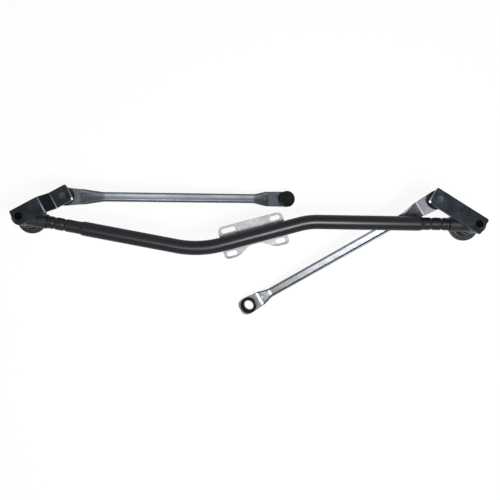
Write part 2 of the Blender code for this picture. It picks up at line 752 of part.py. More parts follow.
# Link rods


def socket_profile(closed, snap_radius):
    """A ball socket with its mouth up.

    Its waist fills the rod's eye between a snap flange above the sheet and a body below it.
    """
    seat = SHEET / 2 + GAP
    bend_radius = 1.5 * MM
    mouth_angle = math.acos(SOCKET_MOUTH_RADIUS / SOCKET_HOLLOW_RADIUS)
    outer = [
        (SOCKET_RIM_RADIUS, SOCKET_RIM_Z),
        (SOCKET_RIM_RADIUS, seat + SOCKET_SNAP_HEIGHT),
        (snap_radius, seat + SOCKET_SNAP_HEIGHT),
        (snap_radius, seat),
        (SOCKET_WAIST_RADIUS, seat),
        (SOCKET_WAIST_RADIUS, -seat),
        (SOCKET_BODY_RADIUS, -seat),
    ]
    if closed:
        floor = SOCKET_FLOOR_Z
        outer += arc((SOCKET_BODY_RADIUS - bend_radius, floor + bend_radius), bend_radius, 0, -math.pi / 2, 3)
        outer.append((0, floor))
        hollow = arc((0, 0), SOCKET_HOLLOW_RADIUS, -math.pi / 2, mouth_angle, 6)[1:]
        inner = [(0, -SOCKET_HOLLOW_RADIUS), *hollow]
    else:
        outer += [(SOCKET_BODY_RADIUS, 1 * MM - SOCKET_RIM_Z), (SOCKET_BODY_RADIUS - 1 * MM, -SOCKET_RIM_Z)]
        inner = [(SOCKET_FLARE_RADIUS, -SOCKET_RIM_Z)]
        inner += arc((0, 0), SOCKET_HOLLOW_RADIUS, -mouth_angle, mouth_angle, 6)
    return outer + inner + [(SOCKET_FLARE_RADIUS, SOCKET_RIM_Z)]


def closed_cup(profile):
    """A cup turned from a profile that meets the axis twice, at its floor's two faces."""
    split = [i for i, (radius, _) in enumerate(profile) if radius == 0]
    ordered = profile[split[1] :] + profile[: split[1]]
    return ordered


def end_widths(reach, half_width):
    """(distance past the ball's centre, half width) along the rounded end of an eye."""
    shares = (0.995, 0.96, 0.88, 0.75, 0.55, 0.3, 0)
    return [
        (share * reach, half_width * (1 - share**EYE_ROUNDNESS) ** (1 / EYE_ROUNDNESS))
        for share in shares
    ]


def flat_section(half_width):
    """The sheet's middle across a flat part, as (across, height) points."""
    wall = SHEET * 1.2 * half_width / FOLD_HALF_WIDTH
    side = [half_width, half_width - wall / 3, half_width - wall * 2 / 3, half_width - wall]
    return [(-across, 0) for across in side] + [(across, 0) for across in side[::-1]]


def channel_section():
    """The sheet's middle across the channel: two walls and a back below them."""
    wall = (CHANNEL_WIDTH - SHEET) / 2
    depth = CHANNEL_DEPTH - SHEET / 2
    corner = arc((wall - CHANNEL_BEND, CHANNEL_BEND - depth), CHANNEL_BEND, 0, -math.pi / 2, 2)
    side = [(wall, 0), *corner]
    return [(-across, height) for across, height in side] + side[::-1]


def rod_stations(rod):
    """(distance along the rod, section) pairs from one end to the other."""
    length = rod["length"]
    near = [(-d, flat_section(w)) for d, w in end_widths(NEAR_END_REACH, EYE_HALF_WIDTH)]
    far = [
        (length + d, flat_section(w))
        for d, w in end_widths(rod["far_reach"], rod["far_half_width"])
    ]
    fold = flat_section(FOLD_HALF_WIDTH)
    near_fold, far_fold = rod["near_flat"], length - rod["far_flat"]
    middle = [
        (near_fold, fold),
        (near_fold + rod["near_ramp"], channel_section()),
        (far_fold - rod["far_ramp"], channel_section()),
        (far_fold, fold),
    ]
    return near + middle + far[::-1]


def make_rod(side, rod, ball, turn):
    """A pressed rod along its own X: an open sheet through the stations, given its thickness."""
    flip = -1 if rod["back_up"] else 1
    sheet = bmesh.new()
    rows = [
        [sheet.verts.new((along, flip * across, flip * height)) for across, height in section]
        for along, section in rod_stations(rod)
    ]
    for row, following in zip(rows, rows[1:]):
        for i in range(len(row) - 1):
            sheet.faces.new((row[i], following[i], following[i + 1], row[i + 1]))
    mesh = bpy.data.meshes.new(f"{side}_link_rod")
    sheet.to_mesh(mesh)
    sheet.free()
    made = add(f"{side}_link_rod", mesh, ROD_STEEL, ball, turn)
    solidify = made.modifiers.new("sheet", "SOLIDIFY")
    solidify.thickness = SHEET
    solidify.offset = 0
    solidify.use_even_offset = True
    length = rod["length"]
    eyes = {"near": 0, "far": length}
    ramp_holes = {
        "near": rod["near_flat"] + RAMP_HOLE_PAST_FOLD,
        "far": length - rod["far_flat"] - RAMP_HOLE_PAST_FOLD,
    }
    for end in ("near", "far"):
        centre = ball + turn @ Vector((eyes[end], 0, 0))
        bore(made, f"{side}_{end}_eye", centre, EYE_HOLE_RADIUS, turn)
        centre = ball + turn @ Vector((ramp_holes[end], 0, 0))
        bore(made, f"{side}_{end}_ramp_hole", centre, RAMP_HOLE_RADIUS, turn, sides=12)


def make_linkage(side, x, angle, drop, rod):
    ball = ball_place(x, angle, drop)
    turn = Euler((0, rod["droop"], rod["heading"])).to_matrix()
    make_ball_stud(side, ball)
    make_boot(side, ball)
    closed = closed_cup(socket_profile(True, SOCKET_SNAP_RADIUS))
    add(f"{side}_near_socket", turned(closed), SOCKET_PLASTIC, ball, turn)
    make_rod(side, rod, ball, turn)
    free = ball + turn @ Vector((rod["length"], 0, 0))
    over = Matrix.Rotation(math.pi, 3, "X")
    if rod["back_up"]:
        add(f"{side}_free_socket", turned(closed), SOCKET_PLASTIC, free, turn @ over)
    else:
        through = socket_profile(False, SOCKET_SNAP_RADIUS)
        add(f"{side}_free_socket", turned(through), SOCKET_PLASTIC, free, turn @ over)


make_frame_tube()
make_mounting_bracket()
make_pivot("left", LEFT_PIVOT_X, LEFT_TUBE_HEADING)
make_pivot("right", RIGHT_PIVOT_X, RIGHT_TUBE_HEADING)
make_lever("left", LEFT_PIVOT_X, LEFT_LEVER_ANGLE, LEFT_LEVER_DROP, LEVER_LARGE_CORNER)
make_lever("right", RIGHT_PIVOT_X, RIGHT_LEVER_ANGLE, 0, LEVER_SMALL_CORNER)
make_linkage("left", LEFT_PIVOT_X, LEFT_LEVER_ANGLE, LEFT_LEVER_DROP, LEFT_ROD)
make_linkage("right", RIGHT_PIVOT_X, RIGHT_LEVER_ANGLE, 0, RIGHT_ROD)
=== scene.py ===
"""Windshield wiper linkage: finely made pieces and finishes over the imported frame.

Lengths are in millimetres until a piece's mesh is made. X runs from the left pivot to the right one, and Z
points to the crank side. Heights of the turned pieces are along their own axis.
"""

import json
import math

import bmesh
import bpy
import numpy as np
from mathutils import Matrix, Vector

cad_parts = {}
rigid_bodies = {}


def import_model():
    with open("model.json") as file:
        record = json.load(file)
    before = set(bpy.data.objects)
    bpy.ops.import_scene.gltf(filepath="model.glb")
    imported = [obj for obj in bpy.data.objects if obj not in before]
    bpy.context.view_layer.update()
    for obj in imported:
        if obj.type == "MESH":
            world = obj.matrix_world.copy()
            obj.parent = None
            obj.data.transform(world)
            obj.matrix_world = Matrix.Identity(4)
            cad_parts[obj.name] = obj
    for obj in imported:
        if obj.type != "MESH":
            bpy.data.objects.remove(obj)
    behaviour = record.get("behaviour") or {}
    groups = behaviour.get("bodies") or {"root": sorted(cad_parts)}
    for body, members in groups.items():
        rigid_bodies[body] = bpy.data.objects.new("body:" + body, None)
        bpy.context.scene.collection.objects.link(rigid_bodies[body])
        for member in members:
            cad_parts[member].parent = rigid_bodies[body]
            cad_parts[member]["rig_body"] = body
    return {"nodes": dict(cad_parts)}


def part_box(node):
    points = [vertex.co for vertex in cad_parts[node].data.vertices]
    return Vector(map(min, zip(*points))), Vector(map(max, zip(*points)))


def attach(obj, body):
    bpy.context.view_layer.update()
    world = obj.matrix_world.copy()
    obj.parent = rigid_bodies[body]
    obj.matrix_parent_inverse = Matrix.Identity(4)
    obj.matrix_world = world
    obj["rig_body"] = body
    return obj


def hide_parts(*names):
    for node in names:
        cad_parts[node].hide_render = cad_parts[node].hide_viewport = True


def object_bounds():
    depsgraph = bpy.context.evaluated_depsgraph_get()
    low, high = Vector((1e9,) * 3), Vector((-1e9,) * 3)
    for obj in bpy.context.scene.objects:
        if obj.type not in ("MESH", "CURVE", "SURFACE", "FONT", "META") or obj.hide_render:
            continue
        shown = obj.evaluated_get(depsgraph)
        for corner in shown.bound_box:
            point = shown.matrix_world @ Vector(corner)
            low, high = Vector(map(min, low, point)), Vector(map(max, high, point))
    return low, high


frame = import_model()
CAD_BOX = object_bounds()

MM = 0.001
MERGE = 1e-6
SMOOTH_ANGLE = math.radians(33)

# Drilled holes: the drill's top, the depth of its point over its radius, and a floor below any piece
DRILL_TOP = 20.0
DRILL_POINT = 0.6
THROUGH = -20.0

# Tube
TUBE_RADIUS = 10.0
TUBE_WALL = 1.5
TUBE_Z = 13.8
TUBE_SIDES = 56
TUBE_BEND_RADII = (140.0, 95.0)
SWAGE_RADIUS = 8.75
SWAGE_LENGTHS = (45.0, 35.0)
SWAGE_TAPER = 6.0
END_FROM_PIVOT = 36.0
CORNER_X = 75.5
MIDDLE_LENGTH = 156.4
MIDDLE_TURN = math.radians(15.6)
CRIMP_PLACES = (10.0, 24.0)
CRIMP_HALF_WIDTH = 2.5
CRIMP_SLOPE = 1.3
CRIMP_DEPTH = 0.8
TUBE_END_ROUNDING = 0.6

# Bracket
BRACKET_HALF_LENGTH = 46.5
BRACKET_HALF_WIDTH = 23.0
BRACKET_THICKNESS = 3.5
BRACKET_WAIST = 11.0
SLOT_ROW = 16.5
SLOT_RADIUS = 3.5
SLOT_END = 42.5
LONG_SLOT = 21.0
SHORT_SLOT = 15.0

# Pivots
BARREL_TOP = 25.0
BARREL_FOOT = -50.0
HOUSING_BORE = 8.3
BUSH_BORE = 6.3
BUSH_RADIUS = 8.0
BUSH_LENGTH = 16.0
O_RING_RADIUS = 7.15
O_RING_SECTION = 0.85
CLAMP_BORE = 10.3
NUT_TOP = -38.1
NUT_FOOT = -46.1
NUT_HALF_FLATS = 15.0

# Levers
LEVER_HALF_WIDTH = 12.0
LEVER_TOP = 31.0
LEVER_THICKNESS = 4.0
LEVER_BEHIND = 8.5
CRANK_RADIUS = 63.0
LEVER_PAST_BALL = 11.0
JOGGLE_START = 33.0
JOGGLE_RUN = 14.0
JOGGLE_RADIUS = 5.0
LEVER_ROUND_OFF = 0.6
LEVER_FAR_CORNER = 2.5
PIVOT_HOLE = 5.15
STUD_HOLE = 3.85
BALL_BELOW_LEVER = 16.0
BALL_RADIUS = 8.0

# Rods
SHEET = 2.0
EYE_HALF_WIDTH = 12.75
FOLD_HALF_WIDTH = 11.0
CHANNEL_WALL = 5.6
CHANNEL_DEPTH = 8.5
CHANNEL_BEND = 2.0
ROD_ROUND_OFF = 0.5
EYE_HOLE = 9.9
DIMPLE_RADIUS = 1.5
SOCKET_HOLLOW = 8.3

# A rod's near and far ends are (reach past the ball, half width, flat length, ramp length).
SIDES = {
    "left": {
        "lever_angle": math.radians(29),
        "drop": 14.0,
        "corners": (7.0, 2.5),
        "length": 321.0,
        "turn": (math.radians(11.6), math.radians(1.28)),
        "near": (13.5, EYE_HALF_WIDTH, 20.0, 32.0),
        "far": (12.6, 11.4, 28.0, 22.0),
        "dimple_floors": (1.3, 1.9),
        "back_up": True,
    },
    "right": {
        "lever_angle": math.radians(148.7),
        "drop": 0.0,
        "corners": (2.5, 2.5),
        "length": 309.0,
        "turn": (math.radians(15.68), math.radians(211.67)),
        "near": (13.5, EYE_HALF_WIDTH, 23.5, 21.0),
        "far": (15.6, EYE_HALF_WIDTH, 18.7, 18.0),
        "dimple_floors": (-1.6, THROUGH),
        "back_up": False,
    },
}


# Finishes


def finish(
    name,
    light,
    dark,
    roughness,
    metallic=0.0,
    scale=60.0,
    stretch=(1, 1, 1),
    bump=0.1,
    bump_scale=900.0,
    specular=0.5,
    edge=None,
    specks=None,
    turn=0.0,
    shade=None,
    above=None,
    painted_shade_fade=None,
):
    """A surface whose colour drifts between two shades, whose gloss drifts between two roughnesses, and whose
    fine grain is a bump. Scattered specks are laid over it, and painted light: painted shade where the shade
    mark lies, a rim tone where the rim mark lies (a painted highlight when the tone is light, painted shade
    when it is dark), painted shade that grows along a direction, and a dark band over a height, which is
    painted shade."""
    made = bpy.data.materials.new(name)
    made.use_nodes = True
    nodes, links = made.node_tree.nodes, made.node_tree.links
    shader = nodes["Principled BSDF"]
    shader.inputs["Metallic"].default_value = metallic
    shader.inputs["Specular IOR Level"].default_value = specular
    place = nodes.new("ShaderNodeTexCoord")
    mapping = nodes.new("ShaderNodeMapping")
    mapping.inputs["Scale"].default_value = stretch
    mapping.inputs["Rotation"].default_value = (0, 0, turn)
    links.new(place.outputs["Object"], mapping.inputs["Vector"])

    def noise(size, detail, roughness_share, source):
        made_noise = nodes.new("ShaderNodeTexNoise")
        made_noise.inputs["Scale"].default_value = size
        made_noise.inputs["Detail"].default_value = detail
        made_noise.inputs["Roughness"].default_value = roughness_share
        links.new(source, made_noise.inputs["Vector"])
        return made_noise.outputs[0]

    def spread(value, low, high, first, last):
        ranged = nodes.new("ShaderNodeMapRange")
        ranged.interpolation_type = "SMOOTHSTEP"
        ranged.inputs["From Min"].default_value = low
        ranged.inputs["From Max"].default_value = high
        ranged.inputs["To Min"].default_value = first
        ranged.inputs["To Max"].default_value = last
        links.new(value, ranged.inputs["Value"])
        return ranged.outputs["Result"]

    def blend(amount, first, second):
        mixed = nodes.new("ShaderNodeMix")
        mixed.data_type = "RGBA"
        for socket, value in ((6, first), (7, second)):
            if isinstance(value, tuple):
                mixed.inputs[socket].default_value = (*value, 1)
            else:
                links.new(value, mixed.inputs[socket])
        links.new(amount, mixed.inputs[0])
        return mixed.outputs[2]

    clouds = noise(scale, 5, 0.6, mapping.outputs["Vector"])
    colour = blend(spread(clouds, 0.34, 0.66, 0, 1), dark, light)
    if specks:
        speck_colour, speck_scale, threshold = specks
        dots = noise(speck_scale, 2, 0.5, place.outputs["Object"])
        colour = blend(spread(dots, threshold, threshold + 0.06, 0, 1), colour, speck_colour)
    # The shade and rim marks lay painted light over the colour: painted shade, and a rim tone that is a
    # painted highlight when light and painted shade when dark.
    for attribute, tone in (("shade", shade), ("rim", edge)):
        if tone:
            rim = nodes.new("ShaderNodeAttribute")
            rim.attribute_name = attribute
            colour = blend(rim.outputs["Fac"], colour, tone)
    # Painted shade that darkens the colour towards one side, along a direction.
    if painted_shade_fade:
        direction, low, high, tone = painted_shade_fade
        reach = nodes.new("ShaderNodeVectorMath")
        reach.operation = "DOT_PRODUCT"
        reach.inputs[1].default_value = direction
        links.new(place.outputs["Object"], reach.inputs[0])
        colour = blend(spread(reach.outputs["Value"], low, high, 1, 0), colour, tone)
    # Painted shade: the colour turns to a dark tone over a height.
    if above:
        height = nodes.new("ShaderNodeSeparateXYZ")
        links.new(place.outputs["Object"], height.inputs["Vector"])
        colour = blend(spread(height.outputs["Z"], above[0], above[0] + 0.0002, 0, 1), colour, above[1])
    links.new(colour, shader.inputs["Base Color"])
    patches = noise(scale * 1.7, 4, 0.65, mapping.outputs["Vector"])
    links.new(spread(patches, 0.3, 0.7, *roughness), shader.inputs["Roughness"])
    grain = noise(bump_scale, 3, 0.55, mapping.outputs["Vector"])
    relief = nodes.new("ShaderNodeBump")
    relief.inputs["Strength"].default_value = bump
    relief.inputs["Distance"].default_value = 0.0002
    links.new(grain, relief.inputs["Height"])
    links.new(relief.outputs["Normal"], shader.inputs["Normal"])
    return made


TUBE_COAT = finish(
    "black_electrocoat", (0.0045, 0.0055, 0.0085), (0.0025, 0.003, 0.0045), (0.3, 0.36),
    scale=40, stretch=(0.4, 1, 1), bump=0.006, bump_scale=700, specular=0.2,
)
# The zinc darkens towards the bracket's lower rim: painted shade, in place of the dark that the rounded edge
# reflects.
BRACKET_ZINC = finish(
    "streaked_zinc", (0.165, 0.17, 0.175), (0.105, 0.11, 0.117), (0.4, 0.54), metallic=0.4,
    scale=70, stretch=(0.35, 1, 1), bump=0.08, bump_scale=1300, turn=-MIDDLE_TURN,
    specks=((0.34, 0.35, 0.355), 380, 0.66),
    painted_shade_fade=((-math.sin(MIDDLE_TURN), math.cos(MIDDLE_TURN), 0), -0.0225, -0.0165, (0.075, 0.077, 0.078)),
)
CAST_HOUSING = finish(
    "cast_housing", (0.018, 0.0185, 0.021), (0.009, 0.0095, 0.011), (0.36, 0.5), metallic=0.5,
    scale=110, bump=0.15, bump_scale=1500, specks=((0.03, 0.031, 0.034), 620, 0.68), specular=0.25,
)
# The lever's bright rim tone is a painted highlight for its folds, ball end and corner, and its shade tone is
# painted shade on the joggle's slope.
LEVER_STEEL = finish(
    "slate_blue_steel", (0.0155, 0.0195, 0.0245), (0.007, 0.0092, 0.0125), (0.26, 0.4), metallic=0.7,
    scale=55, bump=0.06, bump_scale=1100, edge=(0.55, 0.6, 0.68), shade=(0.0065, 0.007, 0.0085),
    specks=((0.026, 0.035, 0.042), 500, 0.68), specular=0.18,
)
# The left rod's dark rim tone is painted shade along its edges and in its holes, and its shade tone is
# painted shade on its back, eyes and ramps.
LEFT_ROD_ZINC = finish(
    "grey_blue_zinc", (0.17, 0.185, 0.21), (0.12, 0.132, 0.152), (0.3, 0.42), metallic=0.7,
    scale=80, stretch=(0.2, 1, 1), bump=0.05, bump_scale=1200, edge=(0.03, 0.033, 0.038),
    specks=((0.22, 0.235, 0.26), 420, 0.7), specular=0.3, shade=(0.034, 0.038, 0.047),
)
# The right rod's dark rim tone is painted shade along its edges and in its holes, and its shade tone is
# painted shade on its upper wall, near eye and far ramp.
RIGHT_ROD_ZINC = finish(
    "bright_rod_zinc", (0.14, 0.148, 0.16), (0.11, 0.116, 0.125), (0.26, 0.34), metallic=0.8,
    scale=80, stretch=(0.2, 1, 1), bump=0.015, bump_scale=1200, edge=(0.05, 0.052, 0.057),
    specks=((0.21, 0.22, 0.235), 420, 0.7), turn=-math.radians(31.67), shade=(0.01, 0.0105, 0.012),
)
STUD_STEEL = finish(
    "stud_steel", (0.03, 0.04, 0.05), (0.016, 0.021, 0.027), (0.3, 0.45), metallic=0.7,
    scale=160, bump=0.12, bump_scale=1400, specular=0.2,
)
# The spindle's end over 26.9 mm is painted near black: painted shade for the recess it sits in under the
# lever's top.
SPINDLE_STEEL = finish(
    "ground_steel", (0.32, 0.325, 0.33), (0.2, 0.205, 0.21), (0.24, 0.38), metallic=1.0,
    scale=180, stretch=(1, 1, 6), bump=0.1, bump_scale=1600, above=(0.0269, (0.003, 0.003, 0.0035)),
)
SPRING_STEEL = finish(
    "spring_steel", (0.07, 0.07, 0.08), (0.035, 0.035, 0.04), (0.28, 0.42), metallic=0.9,
    scale=200, bump=0.1, bump_scale=1500,
)
BRONZE = finish(
    "sintered_bronze", (0.36, 0.21, 0.09), (0.22, 0.12, 0.05), (0.42, 0.6), metallic=0.9,
    scale=260, bump=0.4, bump_scale=2600,
)
PLATED_STEEL = finish(
    "plated_steel", (0.4, 0.41, 0.42), (0.28, 0.29, 0.3), (0.28, 0.42), metallic=0.9,
    scale=120, bump=0.1, bump_scale=1400,
)
BLACK_ACETAL = finish(
    "black_acetal", (0.0055, 0.0055, 0.0065), (0.003, 0.003, 0.0036), (0.3, 0.42),
    scale=140, bump=0.08, bump_scale=1700, specular=0.05,
)
WHITE_NYLON = finish(
    "natural_nylon", (0.34, 0.335, 0.31), (0.24, 0.235, 0.22), (0.42, 0.58),
    scale=120, bump=0.1, bump_scale=1500,
)
BLACK_RUBBER = finish(
    "moulded_rubber", (0.007, 0.007, 0.008), (0.004, 0.004, 0.0045), (0.55, 0.75),
    scale=150, bump=0.25, bump_scale=2000, specular=0.15,
)


# Surfaces


def quads(rows, columns, wrap_rows, wrap_columns):
    """The faces of a grid of points: each joins a point, the next across, and the two in the next row."""
    i = np.arange(rows if wrap_rows else rows - 1)[:, None]
    j = np.arange(columns if wrap_columns else columns - 1)[None, :]
    below, beside = (i + 1) % rows, (j + 1) % columns
    corners = (i * columns + j, i * columns + beside, below * columns + beside, below * columns + j)
    return np.stack(np.broadcast_arrays(*corners), -1).reshape(-1, 4)


def softened(corners, cut, closed=True, steps=5):
    """Rounds a line's corners. Each becomes (1-t)^2 a + 2t(1-t) corner + t^2 b, from a, a cut short of it, to
    b, a cut past it, with one more point on each side to hold the flats beside it flat."""
    corners = np.array(corners, float)
    cut = np.broadcast_to(np.array(cut, float), (len(corners),))
    back = np.roll(corners, 1, 0) - corners
    on = np.roll(corners, -1, 0) - corners
    back_length = np.linalg.norm(back, axis=1) + 1e-12
    on_length = np.linalg.norm(on, axis=1) + 1e-12
    reach = np.minimum(cut, 0.38 * np.minimum(back_length, on_length))[:, None]
    a = corners + back / back_length[:, None] * reach
    b = corners + on / on_length[:, None] * reach
    t = np.linspace(0, 1, steps)[None, :, None]
    curve = (1 - t) ** 2 * a[:, None] + 2 * t * (1 - t) * corners[:, None] + t**2 * b[:, None]
    before = (a + (a - corners) * 0.25)[:, None]
    after = (b + (b - corners) * 0.25)[:, None]
    line = np.concatenate([before, curve, after], 1)
    if closed:
        return line.reshape(-1, 2)
    return np.concatenate([corners[:1], line[1:-1].reshape(-1, 2), corners[-1:]])


def turned(profile, sides=72, shape=None):
    """A profile carried round Z: x = r cos a, y = r sin a. The shape may make r a function of r, z and a."""
    angle = np.linspace(0, 2 * np.pi, sides, endpoint=False)[None, :]
    radius = profile[:, :1] + 0 * angle
    height = profile[:, 1:] + 0 * angle
    if shape:
        radius = shape(radius, height, angle)
    points = np.stack([radius * np.cos(angle), radius * np.sin(angle), height], -1)
    solid = profile[0, 0] == 0 and profile[-1, 0] == 0
    return points.reshape(-1, 3), quads(len(profile), sides, not solid, True)


def ring(inner, outer, top, bottom, cut=0.25):
    """A turned ring's softened profile."""
    return softened([(outer, top), (outer, bottom), (inner, bottom), (inner, top)], cut)


def slab(top, under):
    """A closed sheet between two grids of points: its two faces, and a wall along the four borders."""
    rows, columns = top.shape[:2]
    count = rows * columns
    face = quads(rows, columns, False, False)
    loop = np.concatenate([
        np.arange(columns - 1),
        np.arange(rows - 1) * columns + columns - 1,
        (rows - 1) * columns + np.arange(columns - 1, 0, -1),
        np.arange(rows - 1, 0, -1) * columns,
    ])
    following = np.roll(loop, -1)
    wall = np.stack([following, loop, loop + count, following + count], -1)
    points = np.concatenate([top.reshape(-1, 3), under.reshape(-1, 3)])
    return points, np.concatenate([face, face[:, ::-1] + count, wall])


def turn_matrix(heading, droop=0.0):
    """Turns a piece about Y by its droop, and then about Z by its heading."""
    c, s = math.cos(heading), math.sin(heading)
    d, e = math.cos(droop), math.sin(droop)
    return np.array([[c, -s, 0], [s, c, 0], [0, 0, 1]]) @ np.array([[d, 0, e], [0, 1, 0], [-e, 0, d]])


OVER = np.diag([1.0, -1.0, -1.0])  # half a turn about X


def merged_mesh(name, points, faces, marks=None, face_out=False):
    """A mesh from points in millimetres, with marks laid on the points, merged where its points meet."""
    mesh = bpy.data.meshes.new(name)
    mesh.from_pydata((points * MM).tolist(), [], faces.tolist())
    for mark, value in (marks or {}).items():
        mesh.attributes.new(mark, "FLOAT", "POINT").data.foreach_set("value", value.astype(np.float32))
    shape = bmesh.new()
    shape.from_mesh(mesh)
    bmesh.ops.remove_doubles(shape, verts=shape.verts, dist=MERGE)
    if face_out:
        bmesh.ops.recalc_face_normals(shape, faces=shape.faces)
    shape.to_mesh(mesh)
    shape.free()
    return mesh


def placed(name, data):
    """A new object in the scene."""
    made = bpy.data.objects.new(name, data)
    bpy.context.scene.collection.objects.link(made)
    return made


def piece(node, look, block, material, turn=np.eye(3), place=(0, 0, 0), marks=None):
    """One object from a closed shell of (points, faces), faced outwards by the sign of its volume, a sum of
    triple products. A mark holds one value for each point of a slab's face, and both faces take it. The piece
    stands for a CAD node and rides on its body."""
    points, faces = block
    points = points @ np.array(turn).T + np.array(place)
    p0, p1, p2, p3 = (points[faces[:, k]] for k in range(4))
    volume = (p0 * np.cross(p1, p2)).sum() + (p0 * np.cross(p2, p3)).sum()
    both = {mark: np.concatenate([value.ravel(), value.ravel()]) for mark, value in (marks or {}).items()}
    name = f"{node}_{look}"
    mesh = merged_mesh(name, points, faces if volume > 0 else faces[:, ::-1], both)
    made = placed(name, mesh)
    mesh.materials.append(material)
    mesh.shade_smooth()
    mesh.set_sharp_from_angle(angle=SMOOTH_ANGLE)
    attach(made, frame["nodes"][node]["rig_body"])
    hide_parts(node)
    return made


def combined(made, tool, operation):
    """Joins a tool's mesh to a piece, or cuts it out, with an exact Boolean."""
    other = placed("tool", tool)
    change = made.modifiers.new("change", "BOOLEAN")
    change.operation = operation
    change.solver = "EXACT"
    change.object = other
    bpy.context.view_layer.update()
    result = bpy.data.meshes.new_from_object(made.evaluated_get(bpy.context.evaluated_depsgraph_get()))
    made.modifiers.clear()
    bpy.data.objects.remove(other)
    made.data = result


def drilled(made, material, holes):
    """Cuts (centre, radius, turn, floor) holes into a piece, each along its own Z and down to its floor,
    where the drill's point leaves a shallow cone. The holes' walls are marked as rims and take the piece's
    rim
    tone: painted shade in the rods' holes, and the lever's painted highlight tone in its holes."""
    for centre, radius, turn, floor in holes:
        side = [(0, DRILL_TOP), (radius, DRILL_TOP), (radius, floor), (0, floor - DRILL_POINT * radius)]
        rod, faces = turned(np.array(side, float), 64)
        rod = rod @ turn.T + centre
        combined(made, merged_mesh("drill", rod, faces, {"rim": np.ones(len(rod))}, True), "DIFFERENCE")
    made.data.materials.clear()
    made.data.materials.append(material)
    made.data.shade_smooth()
    made.data.set_sharp_from_angle(angle=SMOOTH_ANGLE)


def centre_of(node):
    """The middle of a CAD node's box, in millimetres."""
    low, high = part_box(node)
    return (np.array(low) + np.array(high)) / 2 / MM


# Frame tube


def tube_route(spacing=2.0):
    """Centres, headings and distances along the tube: straight, a bend, straight, a bend, straight. On each
    bend the heading turns evenly with the distance, and the centres are the sum of the headings."""
    left = centre_of("left_thrust_washer")[:2]
    right = centre_of("right_thrust_washer")[:2]
    second = np.array([CORNER_X, left[1]])
    first = second - MIDDLE_LENGTH * np.array([math.cos(MIDDLE_TURN), math.sin(MIDDLE_TURN)])
    corners = np.array([left, first, second, right])
    legs = np.diff(corners, axis=0)
    lengths = np.linalg.norm(legs, axis=1)
    headings = np.arctan2(legs[:, 1], legs[:, 0])
    turns = np.diff(headings)
    radii = np.array(TUBE_BEND_RADII)
    cuts = radii * np.tan(np.abs(turns) / 2)
    arcs = radii * np.abs(turns)
    knots = np.cumsum([
        0, lengths[0] - cuts[0] - END_FROM_PIVOT, arcs[0],
        lengths[1] - cuts[0] - cuts[1], arcs[1], lengths[2] - cuts[1] - END_FROM_PIVOT,
    ])
    bends = [headings[0], headings[0], headings[1], headings[1], headings[2], headings[2]]
    fine = np.arange(0, knots[-1], spacing / 20)
    heading = np.interp(fine, knots, bends)
    steps = np.stack([np.cos(heading), np.sin(heading)], -1) * spacing / 20
    start = left + legs[0] / lengths[0] * END_FROM_PIVOT
    centres = start + np.concatenate([np.zeros((1, 2)), np.cumsum(steps, 0)])[:-1]
    ends = np.concatenate([np.arange(0, 60, 0.5), knots[-1] - np.arange(60, -0.01, -0.5)])
    along = np.unique(np.concatenate([ends, np.arange(60, knots[-1] - 60, spacing)]))
    along = along[along <= fine[-1]]
    places = np.stack([np.interp(along, fine, centres[:, k]) for k in (0, 1)], -1)
    return places, np.interp(along, fine, heading), along, knots[-1]


def smooth_step(value):
    """3v^2 - 2v^3 between 0 and 1, and flat past them."""
    value = np.clip(value, 0, 1)
    return value * value * (3 - 2 * value)


def tube_radius(along, total):
    """The outer radius: swaged ends that swell smoothly to full size, with rolled crimps in them."""
    radius = np.full(along.shape, TUBE_RADIUS)
    for reach, swage in zip((along, total - along), SWAGE_LENGTHS):
        swell = smooth_step((reach - swage) / SWAGE_TAPER)
        radius = np.minimum(radius, SWAGE_RADIUS + (TUBE_RADIUS - SWAGE_RADIUS) * swell)
        for place in CRIMP_PLACES:
            dip = smooth_step((CRIMP_HALF_WIDTH - np.abs(reach - place)) / CRIMP_SLOPE)
            radius = radius - CRIMP_DEPTH * dip
        radius = radius - 0.5 * (1 - smooth_step(reach / TUBE_END_ROUNDING)) * TUBE_END_ROUNDING
    return radius


def make_tube():
    """A closed tube: rings of points, r (side cos a + up sin a), out along the outer wall and back inside."""
    places, heading, along, total = tube_route()
    outer = tube_radius(along, total)
    radius = np.concatenate([outer, (outer - TUBE_WALL)[::-1]])[:, None]
    centre = np.concatenate([places, places[::-1]])[:, None]
    way = np.concatenate([heading, heading[::-1]])[:, None]
    angle = np.linspace(0, 2 * np.pi, TUBE_SIDES, endpoint=False)[None, :]
    points = np.stack([
        centre[..., 0] - np.sin(way) * radius * np.cos(angle),
        centre[..., 1] + np.cos(way) * radius * np.cos(angle),
        TUBE_Z + radius * np.sin(angle),
    ], -1)
    faces = quads(len(radius), TUBE_SIDES, True, True)
    piece("frame_tube", "coated", (points.reshape(-1, 3), faces), TUBE_COAT)


# Mounting bracket


def arc(centre, radius, start, end, steps=12):
    """Points of a circle between two angles."""
    angle = np.linspace(start, end, steps)
    return np.stack([centre[0] + radius * np.cos(angle), centre[1] + radius * np.sin(angle)], -1)


